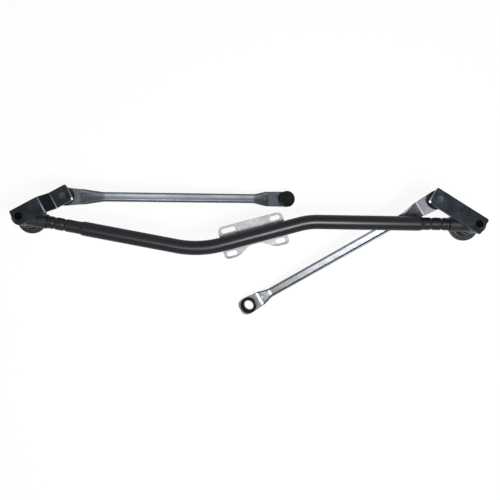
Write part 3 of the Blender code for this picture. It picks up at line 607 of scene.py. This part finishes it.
def make_bracket():
    """The plate's outline and its four slots, filled, thickened, and its edges broken."""
    half_length, half_width = BRACKET_HALF_LENGTH, BRACKET_HALF_WIDTH
    waist = -half_width + BRACKET_WAIST
    outline = softened(
        [
            (-half_length, half_width), (-half_length, -half_width), (-27, -half_width), (-9, waist),
            (9, waist), (27, -half_width), (half_length, -half_width), (half_length, half_width),
        ],
        (9, 8, 5.5, 2.6, 2.6, 5.5, 6, 9),
        steps=12,
    )
    loops = [outline]
    for side in (-1, 1):
        for row in (-SLOT_ROW, SLOT_ROW):
            length = LONG_SLOT if side < 0 < row else SHORT_SLOT
            middle = side * SLOT_END - side * length / 2
            reach = (length - 2 * SLOT_RADIUS) / 2
            loops.append(np.concatenate([
                arc((middle + reach, row), SLOT_RADIUS, -np.pi / 2, np.pi / 2),
                arc((middle - reach, row), SLOT_RADIUS, np.pi / 2, 3 * np.pi / 2),
            ]))
    shape = bmesh.new()
    for loop in loops:
        made = [shape.verts.new((x, y, 0)) for x, y in loop]
        for a, b in zip(made, made[1:] + made[:1]):
            shape.edges.new((a, b))
    bmesh.ops.triangle_fill(shape, use_beauty=True, edges=shape.edges, normal=(0, 0, 1))
    bmesh.ops.recalc_face_normals(shape, faces=shape.faces)
    bmesh.ops.solidify(shape, geom=shape.faces[:], thickness=-BRACKET_THICKNESS)
    bmesh.ops.recalc_face_normals(shape, faces=shape.faces)
    mesh = bpy.data.meshes.new("bracket")
    shape.to_mesh(mesh)
    shape.free()
    points = np.zeros(len(mesh.vertices) * 3)
    mesh.vertices.foreach_get("co", points)
    points = points.reshape(-1, 3)
    points[:, 2] -= points[:, 2].min()
    points = points @ turn_matrix(MIDDLE_TURN).T
    mesh.vertices.foreach_set("co", (points * MM).ravel())
    made = placed("mounting_bracket_plated", mesh)
    mesh.materials.append(BRACKET_ZINC)
    edge = made.modifiers.new("broken_edge", "BEVEL")
    edge.width = 0.5 * MM
    edge.segments = 3
    edge.limit_method = "ANGLE"
    edge.angle_limit = math.radians(60)
    edge.harden_normals = True
    mesh.shade_smooth()
    mesh.set_sharp_from_angle(angle=math.radians(50))
    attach(made, "frame")
    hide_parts("mounting_bracket")


# Pivots


def barrel_outline():
    """The housing's outer side and its bore: from the barrel's top down the outside, and back up inside."""
    return softened(
        [
            (12, BARREL_TOP), (12, 0), (14, -2), (14, -26), (21.5, -26), (21.5, -31),
            (10, -31), (10, BARREL_FOOT), (HOUSING_BORE, BARREL_FOOT), (HOUSING_BORE, BARREL_TOP),
        ],
        (1, 1.2, 1.2, 2.4, 1.2, 0.5, 0.5, 1, 0.5, 0.5),
    )


def spigot_outline():
    """The spigot along its own axis, with its shoulder against the tube's end and two rolled grooves."""
    line = [(0, 66), (6.95, 66)]
    for middle in (60.0, 46.0):
        line += [(6.95, middle + 2.8), (6.15, middle + 1.5), (6.15, middle - 1.5), (6.95, middle - 2.8)]
    line += [(6.95, 35.7), (10, 35.7), (10, 6), (0, 6)]
    return softened(line, [0, 0.8] + [0.5] * 8 + [0.4, 0.8, 0.3, 0], closed=False)


def make_housing(side, middle, heading):
    """A turned barrel with the spigot joined to it and its bore cut clear again."""
    made = piece(
        f"{side}_pivot_housing", "cast", turned(barrel_outline(), 96), CAST_HOUSING,
        place=(*middle, 0),
    )
    points, faces = turned(spigot_outline(), 64)
    c, s = math.cos(heading), math.sin(heading)
    lay = np.array([[-s, 0, c], [c, 0, s], [0, 1, 0]])
    points = points @ lay.T + np.array([*middle, TUBE_Z])
    combined(made, merged_mesh("spigot", points, faces, face_out=True), "UNION")
    centre = np.array([*middle, (BARREL_TOP + BARREL_FOOT) / 2])
    lengthened = np.diag([1.0, 1.0, 2.0])
    drilled(made, CAST_HOUSING, [(centre, HOUSING_BORE, lengthened, THROUGH)])


def splines_and_thread(radius, height, angle):
    """Knurls the cone between -54.8 and -61.8 as a wave of the angle, and cuts a thread below it: a wave of
    the angle plus the height over the pitch."""
    knurl = 0.28 * np.abs(np.sin(18 * angle))
    knurl = knurl * smooth_step((-55.0 - height) / 0.5) * smooth_step((height + 61.6) / 0.3)
    screw = np.abs(((angle / (2 * np.pi) + height / 1.25) % 1.0) - 0.5) * 2
    cut = 0.55 * screw * smooth_step((-63.0 - height) / 1.2) * smooth_step((height + 71.2) / 0.8)
    return np.where(radius > 0.5, radius - knurl * (radius > 4.5) - cut * (radius <= 4.05), radius)


def spindle_outline():
    """The spindle, from its dimpled end in the lever to the wiper arm's thread."""
    head = softened(
        [
            (0, 28.0), (0.5, 28.05), (1.5, 29.2), (5, 29.2), (5, 26.7), (6, 26.7), (6, -50), (4.8, -50),
            (4.8, -51.8), (6, -51.8), (6, -54.8),
        ],
        [0, 0.2, 0.3, 0.5, 0.2, 0.3, 0.2, 0.1, 0.1, 0.3, 0],
        closed=False,
    )
    cone = np.linspace(-54.9, -61.7, 20)
    thread = np.linspace(-61.9, -71.0, 90)
    return np.concatenate([
        head,
        np.stack([6 - (-54.8 - cone) / 7 * 0.8, cone], -1),
        [(5.2, -61.8), (4.0, -61.8)],
        np.stack([np.full(90, 4.0), thread], -1),
        [(3.6, -71.4), (3.0, -71.8), (0, -71.8)],
    ])


def hexagon(radius, height, angle):
    """Flats 30 apart: r = 15 / cos(a - nearest flat's a), taken down near each end by a 30 degree chamfer."""
    flat = NUT_HALF_FLATS / np.cos((angle + np.pi / 6) % (np.pi / 3) - np.pi / 6)
    from_end = np.minimum(height - NUT_FOOT, NUT_TOP - height)
    chamfer = 14.7 + from_end * 1.73
    return np.where(radius > 13, np.minimum(flat, chamfer), radius)


def make_clamp(side, place):
    """The gasket, washer and nut on a housing's neck. The nut's sides are closer spaced towards its ends."""
    gasket = softened([(20.5, -31.3), (20.5, -33.8), (CLAMP_BORE, -33.8), (CLAMP_BORE, -31.3)], 0.6)
    piece(f"{side}_panel_gasket", "rubber", turned(gasket, 96), BLACK_RUBBER, place=place)
    washer = turned(ring(CLAMP_BORE, 17, -36.2, -37.8, 0.3), 96)
    piece(f"{side}_clamp_washer", "plated", washer, PLATED_STEEL, place=place)
    share = np.linspace(-1, 1, 25)
    heights = (NUT_TOP + NUT_FOOT) / 2 - 4 * np.sign(share) * np.abs(share) ** 0.7
    outer = np.stack([np.full(25, 17.0), heights], -1)
    bore = softened(
        [(13.2, NUT_FOOT), (CLAMP_BORE, NUT_FOOT), (CLAMP_BORE, NUT_TOP), (13.2, NUT_TOP)],
        [0, 0.6, 0.6, 0],
        closed=False,
    )
    nut = turned(np.concatenate([outer, bore]), 144, hexagon)
    piece(f"{side}_clamp_nut", "plated", nut, PLATED_STEEL, place=place)


def make_retaining_ring(side, place):
    """A flat spring ring with a mouth: its width swells opposite the mouth."""
    angle = np.linspace(math.radians(35), math.radians(325), 90)[:, None]
    share = np.concatenate([[0, 0.01, 0.03, 0.06], np.linspace(0.1, 0.9, 9), [0.94, 0.97, 0.99, 1]])[None, :]
    outer = 8.6 - 0.4 * np.cos(angle)
    radius = 5.1 + share * (outer - 5.1)
    drop = 0.25 * (1 - smooth_step(np.minimum(share, 1 - share) / 0.06))
    flat = np.stack([radius * np.cos(angle), radius * np.sin(angle)], -1)
    top = np.concatenate([flat, (-50.3 - drop + 0 * angle)[..., None]], -1)
    under = np.concatenate([flat, (-51.5 + drop + 0 * angle)[..., None]], -1)
    piece(
        f"{side}_retaining_ring", "sprung", slab(top, under), SPRING_STEEL, place=place,
    )


def make_o_ring(side, place):
    """A torus: x = (7.15 + 0.85 cos b) cos a, y = (7.15 + 0.85 cos b) sin a, z = 0.85 sin b."""
    low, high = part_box(f"{side}_o_ring")
    height = (low[2] + high[2]) / 2 / MM
    b = np.linspace(0, 2 * np.pi, 16, endpoint=False)
    profile = np.stack([O_RING_RADIUS + O_RING_SECTION * np.cos(b), height + O_RING_SECTION * np.sin(b)], -1)
    piece(f"{side}_o_ring", "rubber", turned(profile, 72), BLACK_RUBBER, place=place)


def make_pivot(side, middle, heading):
    """A housing, and what turns in it and clamps it, all round one upright axis."""
    place = (*middle, 0)
    make_housing(side, middle, heading)
    spindle = turned(spindle_outline(), 144, splines_and_thread)
    piece(f"{side}_spindle", "ground", spindle, SPINDLE_STEEL, place=place)
    for name, top in (("inner", 24.7), ("outer", -33.7)):
        bush = turned(ring(BUSH_BORE, BUSH_RADIUS, top, top - BUSH_LENGTH, 0.4), 72)
        piece(f"{side}_{name}_bush", "bronze", bush, BRONZE, place=place)
    make_o_ring(side, place)
    washer = turned(ring(BUSH_BORE, 10.0, 26.7, 25.3, 0.3), 72)
    piece(f"{side}_thrust_washer", "nylon", washer, WHITE_NYLON, place=place)
    make_retaining_ring(side, place)
    make_clamp(side, place)


# Cranks


def joggle(x, drop):
    """The height of a lever's middle along it: flat, down at 45 degrees, flat, with arcs between."""
    if drop == 0:
        return 0 * x
    cut = JOGGLE_RADIUS * math.tan(math.pi / 8)
    first = x - (JOGGLE_START - cut)
    last = (JOGGLE_START + JOGGLE_RUN + cut) - x
    span = JOGGLE_RADIUS * math.sin(math.pi / 4)

    def bend(v):
        return JOGGLE_RADIUS - np.sqrt(np.clip(JOGGLE_RADIUS**2 - np.clip(v, 0, span) ** 2, 0, None))

    straight = -(x - JOGGLE_START)
    height = np.where(first < span, -bend(first), straight)
    return np.where(last < span, -drop + bend(last), height)


def rounded_distance(x, y, near, far, corner_low, corner_high, far_corner):
    """How far a point of the lever's plan is inside its outline: the least distance to a side, or in a
    corner's square the corner's radius less the distance to its centre."""
    half = LEVER_HALF_WIDTH
    inside = np.minimum.reduce([x - near, far - x, half - y, half + y])
    for end, way, corners in ((near, 1, (corner_low, corner_high)), (far, -1, (far_corner, far_corner))):
        for side, radius in zip((-1, 1), corners):
            along = (x - end) * way
            across = half - side * y
            corner = (along < radius) & (across < radius)
            round_one = radius - np.hypot(radius - along, radius - across)
            inside = np.where(corner, np.minimum(inside, round_one), inside)
    return np.clip(inside, 0, None)


def rounded_half(thickness, round_off, inside):
    """Half a sheet's thickness at a distance d inside its outline: t / 2 - r + sqrt(r^2 - (r - d)^2)."""
    depth = np.clip(inside, 0, round_off)
    return thickness / 2 - round_off + np.sqrt(np.clip(round_off**2 - (round_off - depth) ** 2, 0, None))


def make_lever(side, data, middle):
    """A plate on a grid of lengthwise and crosswise shares, with its half thickness laid off square to the
    joggled middle. At a corner of radius r, a distance d from the end, its half width is
    half - r + sqrt(r^2 - (r - d)^2)."""
    near, far = -LEVER_BEHIND, CRANK_RADIUS + LEVER_PAST_BALL
    low, high = data["corners"]
    half = LEVER_HALF_WIDTH
    rim = np.array([0, 0.03, 0.09, 0.18, 0.32, 0.5, 0.7])
    fine = 7.5 * (1 - np.cos(np.linspace(0, np.pi / 2, 26)))
    fine = np.concatenate([rim, fine[fine > 0.8]])
    x = np.unique(np.concatenate([
        near + fine, np.arange(0, 29, 1.5), np.arange(29, 51, 0.4), np.arange(51, far - 8, 1.5), far - fine,
    ]))

    def taken_in(radius, from_end):
        short = radius - from_end.clip(0, radius)
        return half - radius + np.sqrt(np.clip(radius**2 - short**2, 0, None))

    def side_reach(radius_near):
        return np.minimum(taken_in(radius_near, x - near), taken_in(LEVER_FAR_CORNER, far - x))

    y_low, y_high = -side_reach(low), side_reach(high)
    share = np.concatenate([rim / 24, np.linspace(0.05, 0.95, 19), 1 - rim[::-1] / 24])
    y = y_low[:, None] + (y_high - y_low)[:, None] * share[None, :]
    xs = np.broadcast_to(x[:, None], y.shape)
    inside = rounded_distance(xs, y, near, far, low, high, LEVER_FAR_CORNER)
    thick = rounded_half(LEVER_THICKNESS, LEVER_ROUND_OFF, inside)
    height = joggle(x, data["drop"])
    slope = np.gradient(height, x)
    lean = 1 / np.hypot(slope, 1)
    base = LEVER_TOP - LEVER_THICKNESS / 2
    normal = np.stack([-slope * lean, lean], -1)[:, None, :]

    def face(way):
        return np.stack([
            xs + way * thick * normal[..., 0], y, base + height[:, None] + way * thick * normal[..., 1],
        ], -1)

    fold_end = JOGGLE_START + JOGGLE_RUN
    # Painted highlights: bright lines along the two folds, a bright strip along the ball end and a bright
    # spot at its lower corner.
    folds = np.minimum(np.abs(x - JOGGLE_START - 0.4), np.abs(x - fold_end - 1.2))
    folded = data["drop"] > 0
    fold_way = y if side == "right" else -y
    painted_highlight = (1 - smooth_step(folds / 0.9))[:, None] * folded * (0.16 + 0.36 * smooth_step((fold_way + 9) / 18))
    corner = 1 - smooth_step((np.hypot(far - 1.2 - xs, fold_way - 10.3) - 0.9) / 1.2)
    tip = (1 - smooth_step((far - xs) / 1.3)) * (0.12 + 0.3 * smooth_step((fold_way + 4) / 12))
    painted_highlight = np.maximum(painted_highlight, np.maximum(tip, corner))
    # Painted shade on the joggle's slope between the folds.
    slope_painted_shade = smooth_step((x - JOGGLE_START - 0.6) / 1.2) * smooth_step((fold_end + 0.4 - x) / 1.2)
    slope_painted_shade = slope_painted_shade[:, None] * folded + 0 * inside
    turn = turn_matrix(data["lever_angle"])
    made = piece(
        f"{side}_crank_lever", "steel", slab(face(1), face(-1)), LEVER_STEEL,
        turn=turn, place=(*middle, 0), marks={"rim": painted_highlight, "shade": slope_painted_shade},
    )
    stud = np.array([*middle, 0]) + turn @ np.array([CRANK_RADIUS, 0, base - data["drop"]])
    drilled(made, LEVER_STEEL, [
        (np.array([*middle, base]), PIVOT_HOLE, np.eye(3), THROUGH),
        (stud, STUD_HOLE, np.eye(3), THROUGH),
    ])


def make_ball_stud(side, ball):
    """A ball, its neck, a shank through the lever and a flat riveted head with a faint peened ring."""
    neck = math.acos(4.5 / BALL_RADIUS)
    sphere = arc((0, 0), BALL_RADIUS, neck, -math.pi / 2, 30)
    sphere[-1] = (0, -BALL_RADIUS)
    top = softened(
        [
            (0, 20.75), (2.6, 20.8), (3.4, 20.9), (5, 20.9), (5, 20.3), (3.7, 20.3), (3.7, 15.7),
            (4.5, 15.7), (4.5, 7.2),
        ],
        [0, 0.3, 0.3, 0.45, 0.1, 0.1, 0.1, 0.4, 0],
        closed=False,
    )
    stud = turned(np.concatenate([top[:-1], sphere]), 72)
    piece(f"{side}_ball_stud", "steel", stud, STUD_STEEL, place=ball)


def make_boot(side, ball):
    """A moulded bell: a rounded crown, one shallow bellows wave and a thick lip, hollow inside."""
    hollow = arc((0, 0), 12.0, math.asin(5.2 / 12.0), math.acos(4.8 / 12.0), 20)
    outer = softened(
        [
            (4.8, 15.7), (8.0, 15.7), (10.9, 13.8), (12.5, 11.2), (12.2, 9.9), (13.25, 8.8), (13.25, 5.2),
        ],
        [0, 1.2, 1.4, 0.8, 0.5, 0.5, 0],
        closed=False,
    )
    bell = turned(np.concatenate([outer, hollow[1:]]), 96)
    piece(f"{side}_ball_boot", "rubber", bell, BLACK_RUBBER, place=ball)


# Link rods


def socket_outline(closed):
    """A ball socket, mouth up. Its waist fills the rod's eye between a snap flange and the body below it."""
    mouth = math.acos(7.5 / SOCKET_HOLLOW)
    outer = [(9.5, 6), (9.5, 2.0), (11.5, 2.0), (11.5, 1.3), (9.6, 1.3), (9.6, -1.3), (11.95, -1.3)]
    cuts = [0.5, 0.5, 0.3, 0.1, 0.2, 0.2, 0.5]
    if closed:
        outer += [(11.95, -10), (7.6, -10), (7.2, -9.6), (0, -9.6)]
        line = softened(outer, cuts + [1.5, 0.2, 0.2, 0], closed=False)
        hollow = arc((0, 0), SOCKET_HOLLOW, -math.pi / 2, mouth, 24)
        hollow[0] = (0, -SOCKET_HOLLOW)
        split = len(line)
        line = np.concatenate([line, hollow, [(8.2, 6)]])
        return np.concatenate([line[split:], line[:split]])
    outer += [(11.95, -5.2), (10.9, -6.0), (8.2, -6.0)]
    line = softened(outer, cuts + [0.5, 0.5, 0.2], closed=False)
    hollow = arc((0, 0), SOCKET_HOLLOW, -mouth, mouth, 24)
    return np.concatenate([line, hollow, [(8.2, 6)]])


def rod_sections(data):
    """Rows of a rod's middle surface, (along, across, height), and how far each point is inside its outline.

    Across is a share q from the sheet's edge to its middle. Between the eye's fold and the channel the point
    slides evenly from the flat section to the channel's: a wall, a quarter bend and a back."""
    length = data["length"]
    near_reach, near_half, near_flat, near_ramp = data["near"]
    far_reach, far_half, far_flat, far_ramp = data["far"]
    theta = np.linspace(0, np.pi / 2, 34)
    end = np.cos(theta) ** (2 / 3)
    end[-1] = 0
    ends_near = -near_reach * end
    ends_far = length + far_reach * end[::-1]
    ramp_near = np.arange(near_flat - 5, near_flat + near_ramp + 5, 0.6)
    ramp_far = np.arange(length - far_flat - far_ramp - 5, length - far_flat + 5, 0.6)
    x = np.unique(np.concatenate([
        ends_near, np.arange(1.5, near_flat - 5, 1.5), ramp_near,
        np.arange(near_flat + near_ramp + 6, length - far_flat - far_ramp - 6, 3.0),
        ramp_far, np.arange(length - far_flat + 5.5, length - 1, 1.5), ends_far,
    ]))
    edge = [0, 0.003, 0.008, 0.015, 0.026, 0.045, 0.08, 0.13, 0.19, 0.26]
    q = np.concatenate([edge, np.linspace(1 / 3, 1, 9)])
    back = np.linspace(0, 1, 7)[1:]
    wall_share = np.concatenate([q, np.ones(6)])
    back_share = np.concatenate([np.zeros(len(q)), back])
    side = np.concatenate([-np.ones(len(wall_share)), np.ones(len(wall_share) - 1)])
    wall_share = np.concatenate([wall_share, wall_share[::-1][1:]])
    back_share = np.concatenate([back_share, back_share[::-1][1:]])

    def eye_end(half_width, share):
        return half_width * np.clip(1 - np.clip(share, 0, 1) ** 3, 0, None) ** (1 / 3)

    near_end = eye_end(near_half, -x / near_reach)
    far_end = eye_end(far_half, (x - length) / far_reach)
    half = np.where(
        x < near_flat,
        near_end + (FOLD_HALF_WIDTH - near_half) * np.clip(x / near_flat, 0, 1),
        np.where(
            x > length - far_flat,
            far_end + (FOLD_HALF_WIDTH - far_half) * np.clip((length - x) / far_flat, 0, 1),
            FOLD_HALF_WIDTH,
        ),
    )

    def eased(value, run, ease=2.2):
        """0 to 1 along the ramp, with both ends rounded into it by parabolas."""

        def soft(v):
            return np.where(v < -ease, 0, np.where(v > ease, v, (v + ease) ** 2 / (4 * ease)))

        return (soft(value) - soft(value - run)) / run

    amount = np.minimum(
        eased(x - near_flat, near_ramp), eased(length - far_flat - x, far_ramp)
    )[:, None]
    gauge = SHEET * 1.2 * half / FOLD_HALF_WIDTH
    flat_across = (
        half[:, None] - gauge[:, None] * wall_share[None] - (half - gauge)[:, None] * back_share[None]
    )
    bend = np.clip((wall_share - 1 / 3) * 1.5, 0, 1) * np.pi / 2
    straight = np.clip(wall_share * 3, 0, 1)
    walls = CHANNEL_WALL - CHANNEL_BEND + CHANNEL_BEND * np.cos(bend)
    channel_across = walls - (CHANNEL_WALL - CHANNEL_BEND) * back_share
    channel_height = -(CHANNEL_DEPTH - CHANNEL_BEND) * straight - CHANNEL_BEND * np.sin(bend)
    across = side * ((1 - amount) * flat_across + amount * channel_across)
    height = amount * channel_height
    along = np.broadcast_to(x[:, None], across.shape)
    middle = np.stack([along, across, height], -1)

    steps = np.linalg.norm(np.diff(middle, axis=1), axis=2)
    run = np.concatenate([np.zeros((len(x), 1)), np.cumsum(steps, 1)], 1)
    inside = np.minimum(run, run[:, -1:] - run)
    for reach, width, past in ((near_reach, near_half, -along), (far_reach, far_half, along - length)):
        u = np.clip(past / reach, 0, 1)
        v = np.abs(across) / width
        level = (u**3 + v**3) ** (1 / 3) + 1e-9
        steep = np.hypot((u / level) ** 2 / reach, (v / level) ** 2 / width)
        to_end = np.clip((1 - level) / (steep + 1e-9), 0, None)
        inside = np.where(past > 0, np.minimum(inside, to_end), inside)
    return middle, inside, amount


def make_rod(side, data, ball, turn, material):
    """A pressed sheet: its half thickness is laid off on both sides of its middle surface, square to it. The
    shade mark lays painted shade on it, with a lighter painted highlight line on the left rod's ramps, and
    the rim mark lays painted shade along its edges. Then the eyes and two small holes are cut."""
    middle, inside, amount = rod_sections(data)
    along = np.gradient(middle, axis=0)
    across = np.gradient(middle, axis=1)
    normal = np.cross(along, across)
    size = np.linalg.norm(normal, axis=2, keepdims=True)
    normal = np.where(size > 1e-7, normal / (size + 1e-12), np.array([0, 0, 1.0]))
    thick = rounded_half(SHEET, ROD_ROUND_OFF, inside)
    top = middle + normal * thick[..., None]
    under = middle - normal * thick[..., None]
    flip = np.array([1, -1, -1]) if data["back_up"] else np.array([1, 1, 1])
    # Painted shade along the sheet's edges.
    rim = 1 - smooth_step(inside / 0.7)
    across = middle[..., 1] / CHANNEL_WALL
    if data["back_up"]:
        # Painted shade on the left rod: darker towards the lower side of its back and along its upper edge,
        # on its eyes, and faintly over all of it, with a painted highlight line along the ramps where the
        # shade is lifted.
        rod_painted_shade = np.maximum(smooth_step((across + 0.5) / 0.8), 1 - smooth_step((across + 0.95) / 0.3))
        streak = 1 - smooth_step((np.abs(across + 0.55 + 0.9 * (1 - amount)) - 0.12) / 0.3)
        rod_painted_shade = 0.12 + 0.75 * rod_painted_shade * amount + 0.85 * (1 - amount) * (1 - streak * (amount > 0.02))
    else:
        # Painted shade on the right rod's upper wall, its near eye and its far ramp, with the painted edge
        # shade lightened on the lower wall.
        rod_painted_shade = smooth_step((amount - 0.55) / 0.4) * smooth_step((-across - 0.5) / 0.25)
        rim = rim * (1 - 0.5 * amount * (across > 0))
        near_eye = smooth_step((data["near"][2] - 0.6 - middle[..., 0]) / 1.2)
        far_ramp = (1 - amount) * smooth_step((middle[..., 0] - 150) / 20)
        far_ramp = far_ramp * smooth_step((data["length"] - data["far"][2] - 1.6 - middle[..., 0]) / 1.2)
        rod_painted_shade = rod_painted_shade + 0.97 * near_eye + 0.9 * far_ramp
    made = piece(
        f"{side}_link_rod", "pressed", slab(top * flip, under * flip), material,
        turn=turn, place=ball, marks={"rim": rim, "shade": np.clip(rod_painted_shade, 0, 1)},
    )
    length = data["length"]
    near_floor, far_floor = data["dimple_floors"]
    spots = (
        (0, EYE_HOLE, THROUGH),
        (length, EYE_HOLE, THROUGH),
        (data["near"][2] + 4, DIMPLE_RADIUS, near_floor),
        (length - data["far"][2] - 5, DIMPLE_RADIUS, far_floor),
    )
    drilled(made, material, [
        (ball + turn @ np.array([x, 0, 0]), radius, turn, floor) for x, radius, floor in spots
    ])


def make_linkage(side, data, middle):
    """The ball under a lever's end, its boot, and the rod with its two sockets."""
    lever = turn_matrix(data["lever_angle"])
    height = LEVER_TOP - LEVER_THICKNESS - data["drop"] - BALL_BELOW_LEVER
    ball = np.array([*middle, 0]) + lever @ np.array([CRANK_RADIUS, 0, height])
    droop, heading = data["turn"]
    turn = turn_matrix(heading, droop)
    make_ball_stud(side, ball)
    make_boot(side, ball)
    closed = turned(socket_outline(True), 96)
    piece(f"{side}_near_socket", "acetal", closed, BLACK_ACETAL, turn=turn, place=ball)
    make_rod(side, data, ball, turn, LEFT_ROD_ZINC if side == "left" else RIGHT_ROD_ZINC)
    free = ball + turn @ np.array([data["length"], 0, 0])
    cup = closed if data["back_up"] else turned(socket_outline(False), 96)
    piece(f"{side}_free_socket", "acetal", cup, BLACK_ACETAL, turn=turn @ OVER, place=free)


headings = tube_route()[1]
make_tube()
make_bracket()
for side, data in SIDES.items():
    middle = centre_of(f"{side}_thrust_washer")[:2]
    make_pivot(side, middle, headings[0] if side == "left" else headings[-1] + math.pi)
    make_lever(side, data, middle)
    make_linkage(side, data, middle)


# Room, light and camera

AMBIENT = 0.08
FLOOR_HALF_SIZE = 6.0
FLOOR_BELOW = 0.004
FLOOR_WHITE = 0.92


def glow_where_seen(made, shader):
    """Whether a ray is the camera's, a reflection's or one through glass, and white light for such rays."""
    nodes, links = made.node_tree.nodes, made.node_tree.links
    path = nodes.new("ShaderNodeLightPath")
    seen = path.outputs["Is Camera Ray"]
    for ray in ("Is Glossy Ray", "Is Transmission Ray"):
        either = nodes.new("ShaderNodeMath")
        either.operation = "MAXIMUM"
        links.new(seen, either.inputs[0])
        links.new(path.outputs[ray], either.inputs[1])
        seen = either.outputs[0]
    white = nodes.new(shader)
    white.inputs["Color"].default_value = (1, 1, 1, 1)
    white.inputs["Strength"].default_value = 1.0
    return seen, white.outputs[0]


def make_world():
    """Plain light at the ambient strength, and white where it is seen."""
    world = bpy.data.worlds.new("studio")
    bpy.context.scene.world = world
    world.use_nodes = True
    nodes, links = world.node_tree.nodes, world.node_tree.links
    plain = nodes["Background"]
    plain.inputs["Color"].default_value = (1, 1, 1, 1)
    plain.inputs["Strength"].default_value = AMBIENT
    seen, white = glow_where_seen(world, "ShaderNodeBackground")
    mixed = nodes.new("ShaderNodeMixShader")
    links.new(seen, mixed.inputs[0])
    links.new(plain.outputs[0], mixed.inputs[1])
    links.new(white, mixed.inputs[2])
    links.new(mixed.outputs[0], nodes["World Output"].inputs["Surface"])


def make_floor():
    """A wide floor just under the lowest thread, white where it is seen but for a faint shadow."""
    corners = np.array([(-1, -1), (1, -1), (1, 1), (-1, 1)]) * FLOOR_HALF_SIZE
    level = CAD_BOX[0][2] - FLOOR_BELOW
    mesh = bpy.data.meshes.new("floor")
    mesh.from_pydata([(x, y, level) for x, y in corners.tolist()], [], [(0, 1, 2, 3)])
    floor = placed("floor", mesh)
    made = bpy.data.materials.new("floor_white")
    made.use_nodes = True
    nodes, links = made.node_tree.nodes, made.node_tree.links
    shader = nodes["Principled BSDF"]
    shader.inputs["Base Color"].default_value = (0.8, 0.8, 0.8, 1)
    shader.inputs["Roughness"].default_value = 1.0
    shader.inputs["Specular IOR Level"].default_value = 0.0
    seen, white = glow_where_seen(made, "ShaderNodeEmission")
    dim = nodes.new("ShaderNodeMath")
    dim.operation = "MULTIPLY"
    dim.inputs[1].default_value = FLOOR_WHITE
    links.new(seen, dim.inputs[0])
    mixed = nodes.new("ShaderNodeMixShader")
    links.new(dim.outputs[0], mixed.inputs[0])
    links.new(shader.outputs[0], mixed.inputs[1])
    links.new(white, mixed.inputs[2])
    links.new(mixed.outputs[0], nodes["Material Output"].inputs["Surface"])
    mesh.materials.append(made)


def lamp(name, place, aim, size, power):
    """A soft oblong lamp that faces a point."""
    light = bpy.data.lights.new(name, "AREA")
    light.shape = "RECTANGLE"
    light.size, light.size_y = size
    light.energy = power
    made = placed(name, light)
    away = np.array(place) - np.array(aim)
    away = away / np.linalg.norm(away)
    side = np.cross((0.0, 1.0, 0.0), away)
    side = side / np.linalg.norm(side)
    up = np.cross(away, side)
    matrix = np.eye(4)
    matrix[:3, 0], matrix[:3, 1], matrix[:3, 2], matrix[:3, 3] = side, up, away, place
    made.matrix_world = matrix.T.tolist()


make_world()
make_floor()
lamp("key", (-0.2, -0.34, 1.06), (0.05, 0.0, 0.0), (0.26, 0.26), 1.9)
lamp("middle", (0.225, -0.21, 1.07), (0.05, 0.0, 0.0), (0.26, 0.3), 16.0)
lamp("strip", (0.0, -0.3, 1.1), (0.0, 0.0, 0.0), (1.5, 0.26), 5.0)
lamp("back", (0.1, 0.3, 1.1), (0.0, 0.0, 0.0), (0.25, 0.25), 0.5)

camera = placed("camera", bpy.data.cameras.new("camera"))
camera.location = (-0.0296, -0.0235, 0.861)
camera.rotation_euler = (0, 0, math.radians(0.955))
camera.data.lens = 44.2
camera.data.sensor_width = 36
camera.data.shift_x = 0.036
camera.data.shift_y = 0.004
bpy.context.scene.camera = camera
bpy.context.scene.view_settings.view_transform = "Standard"
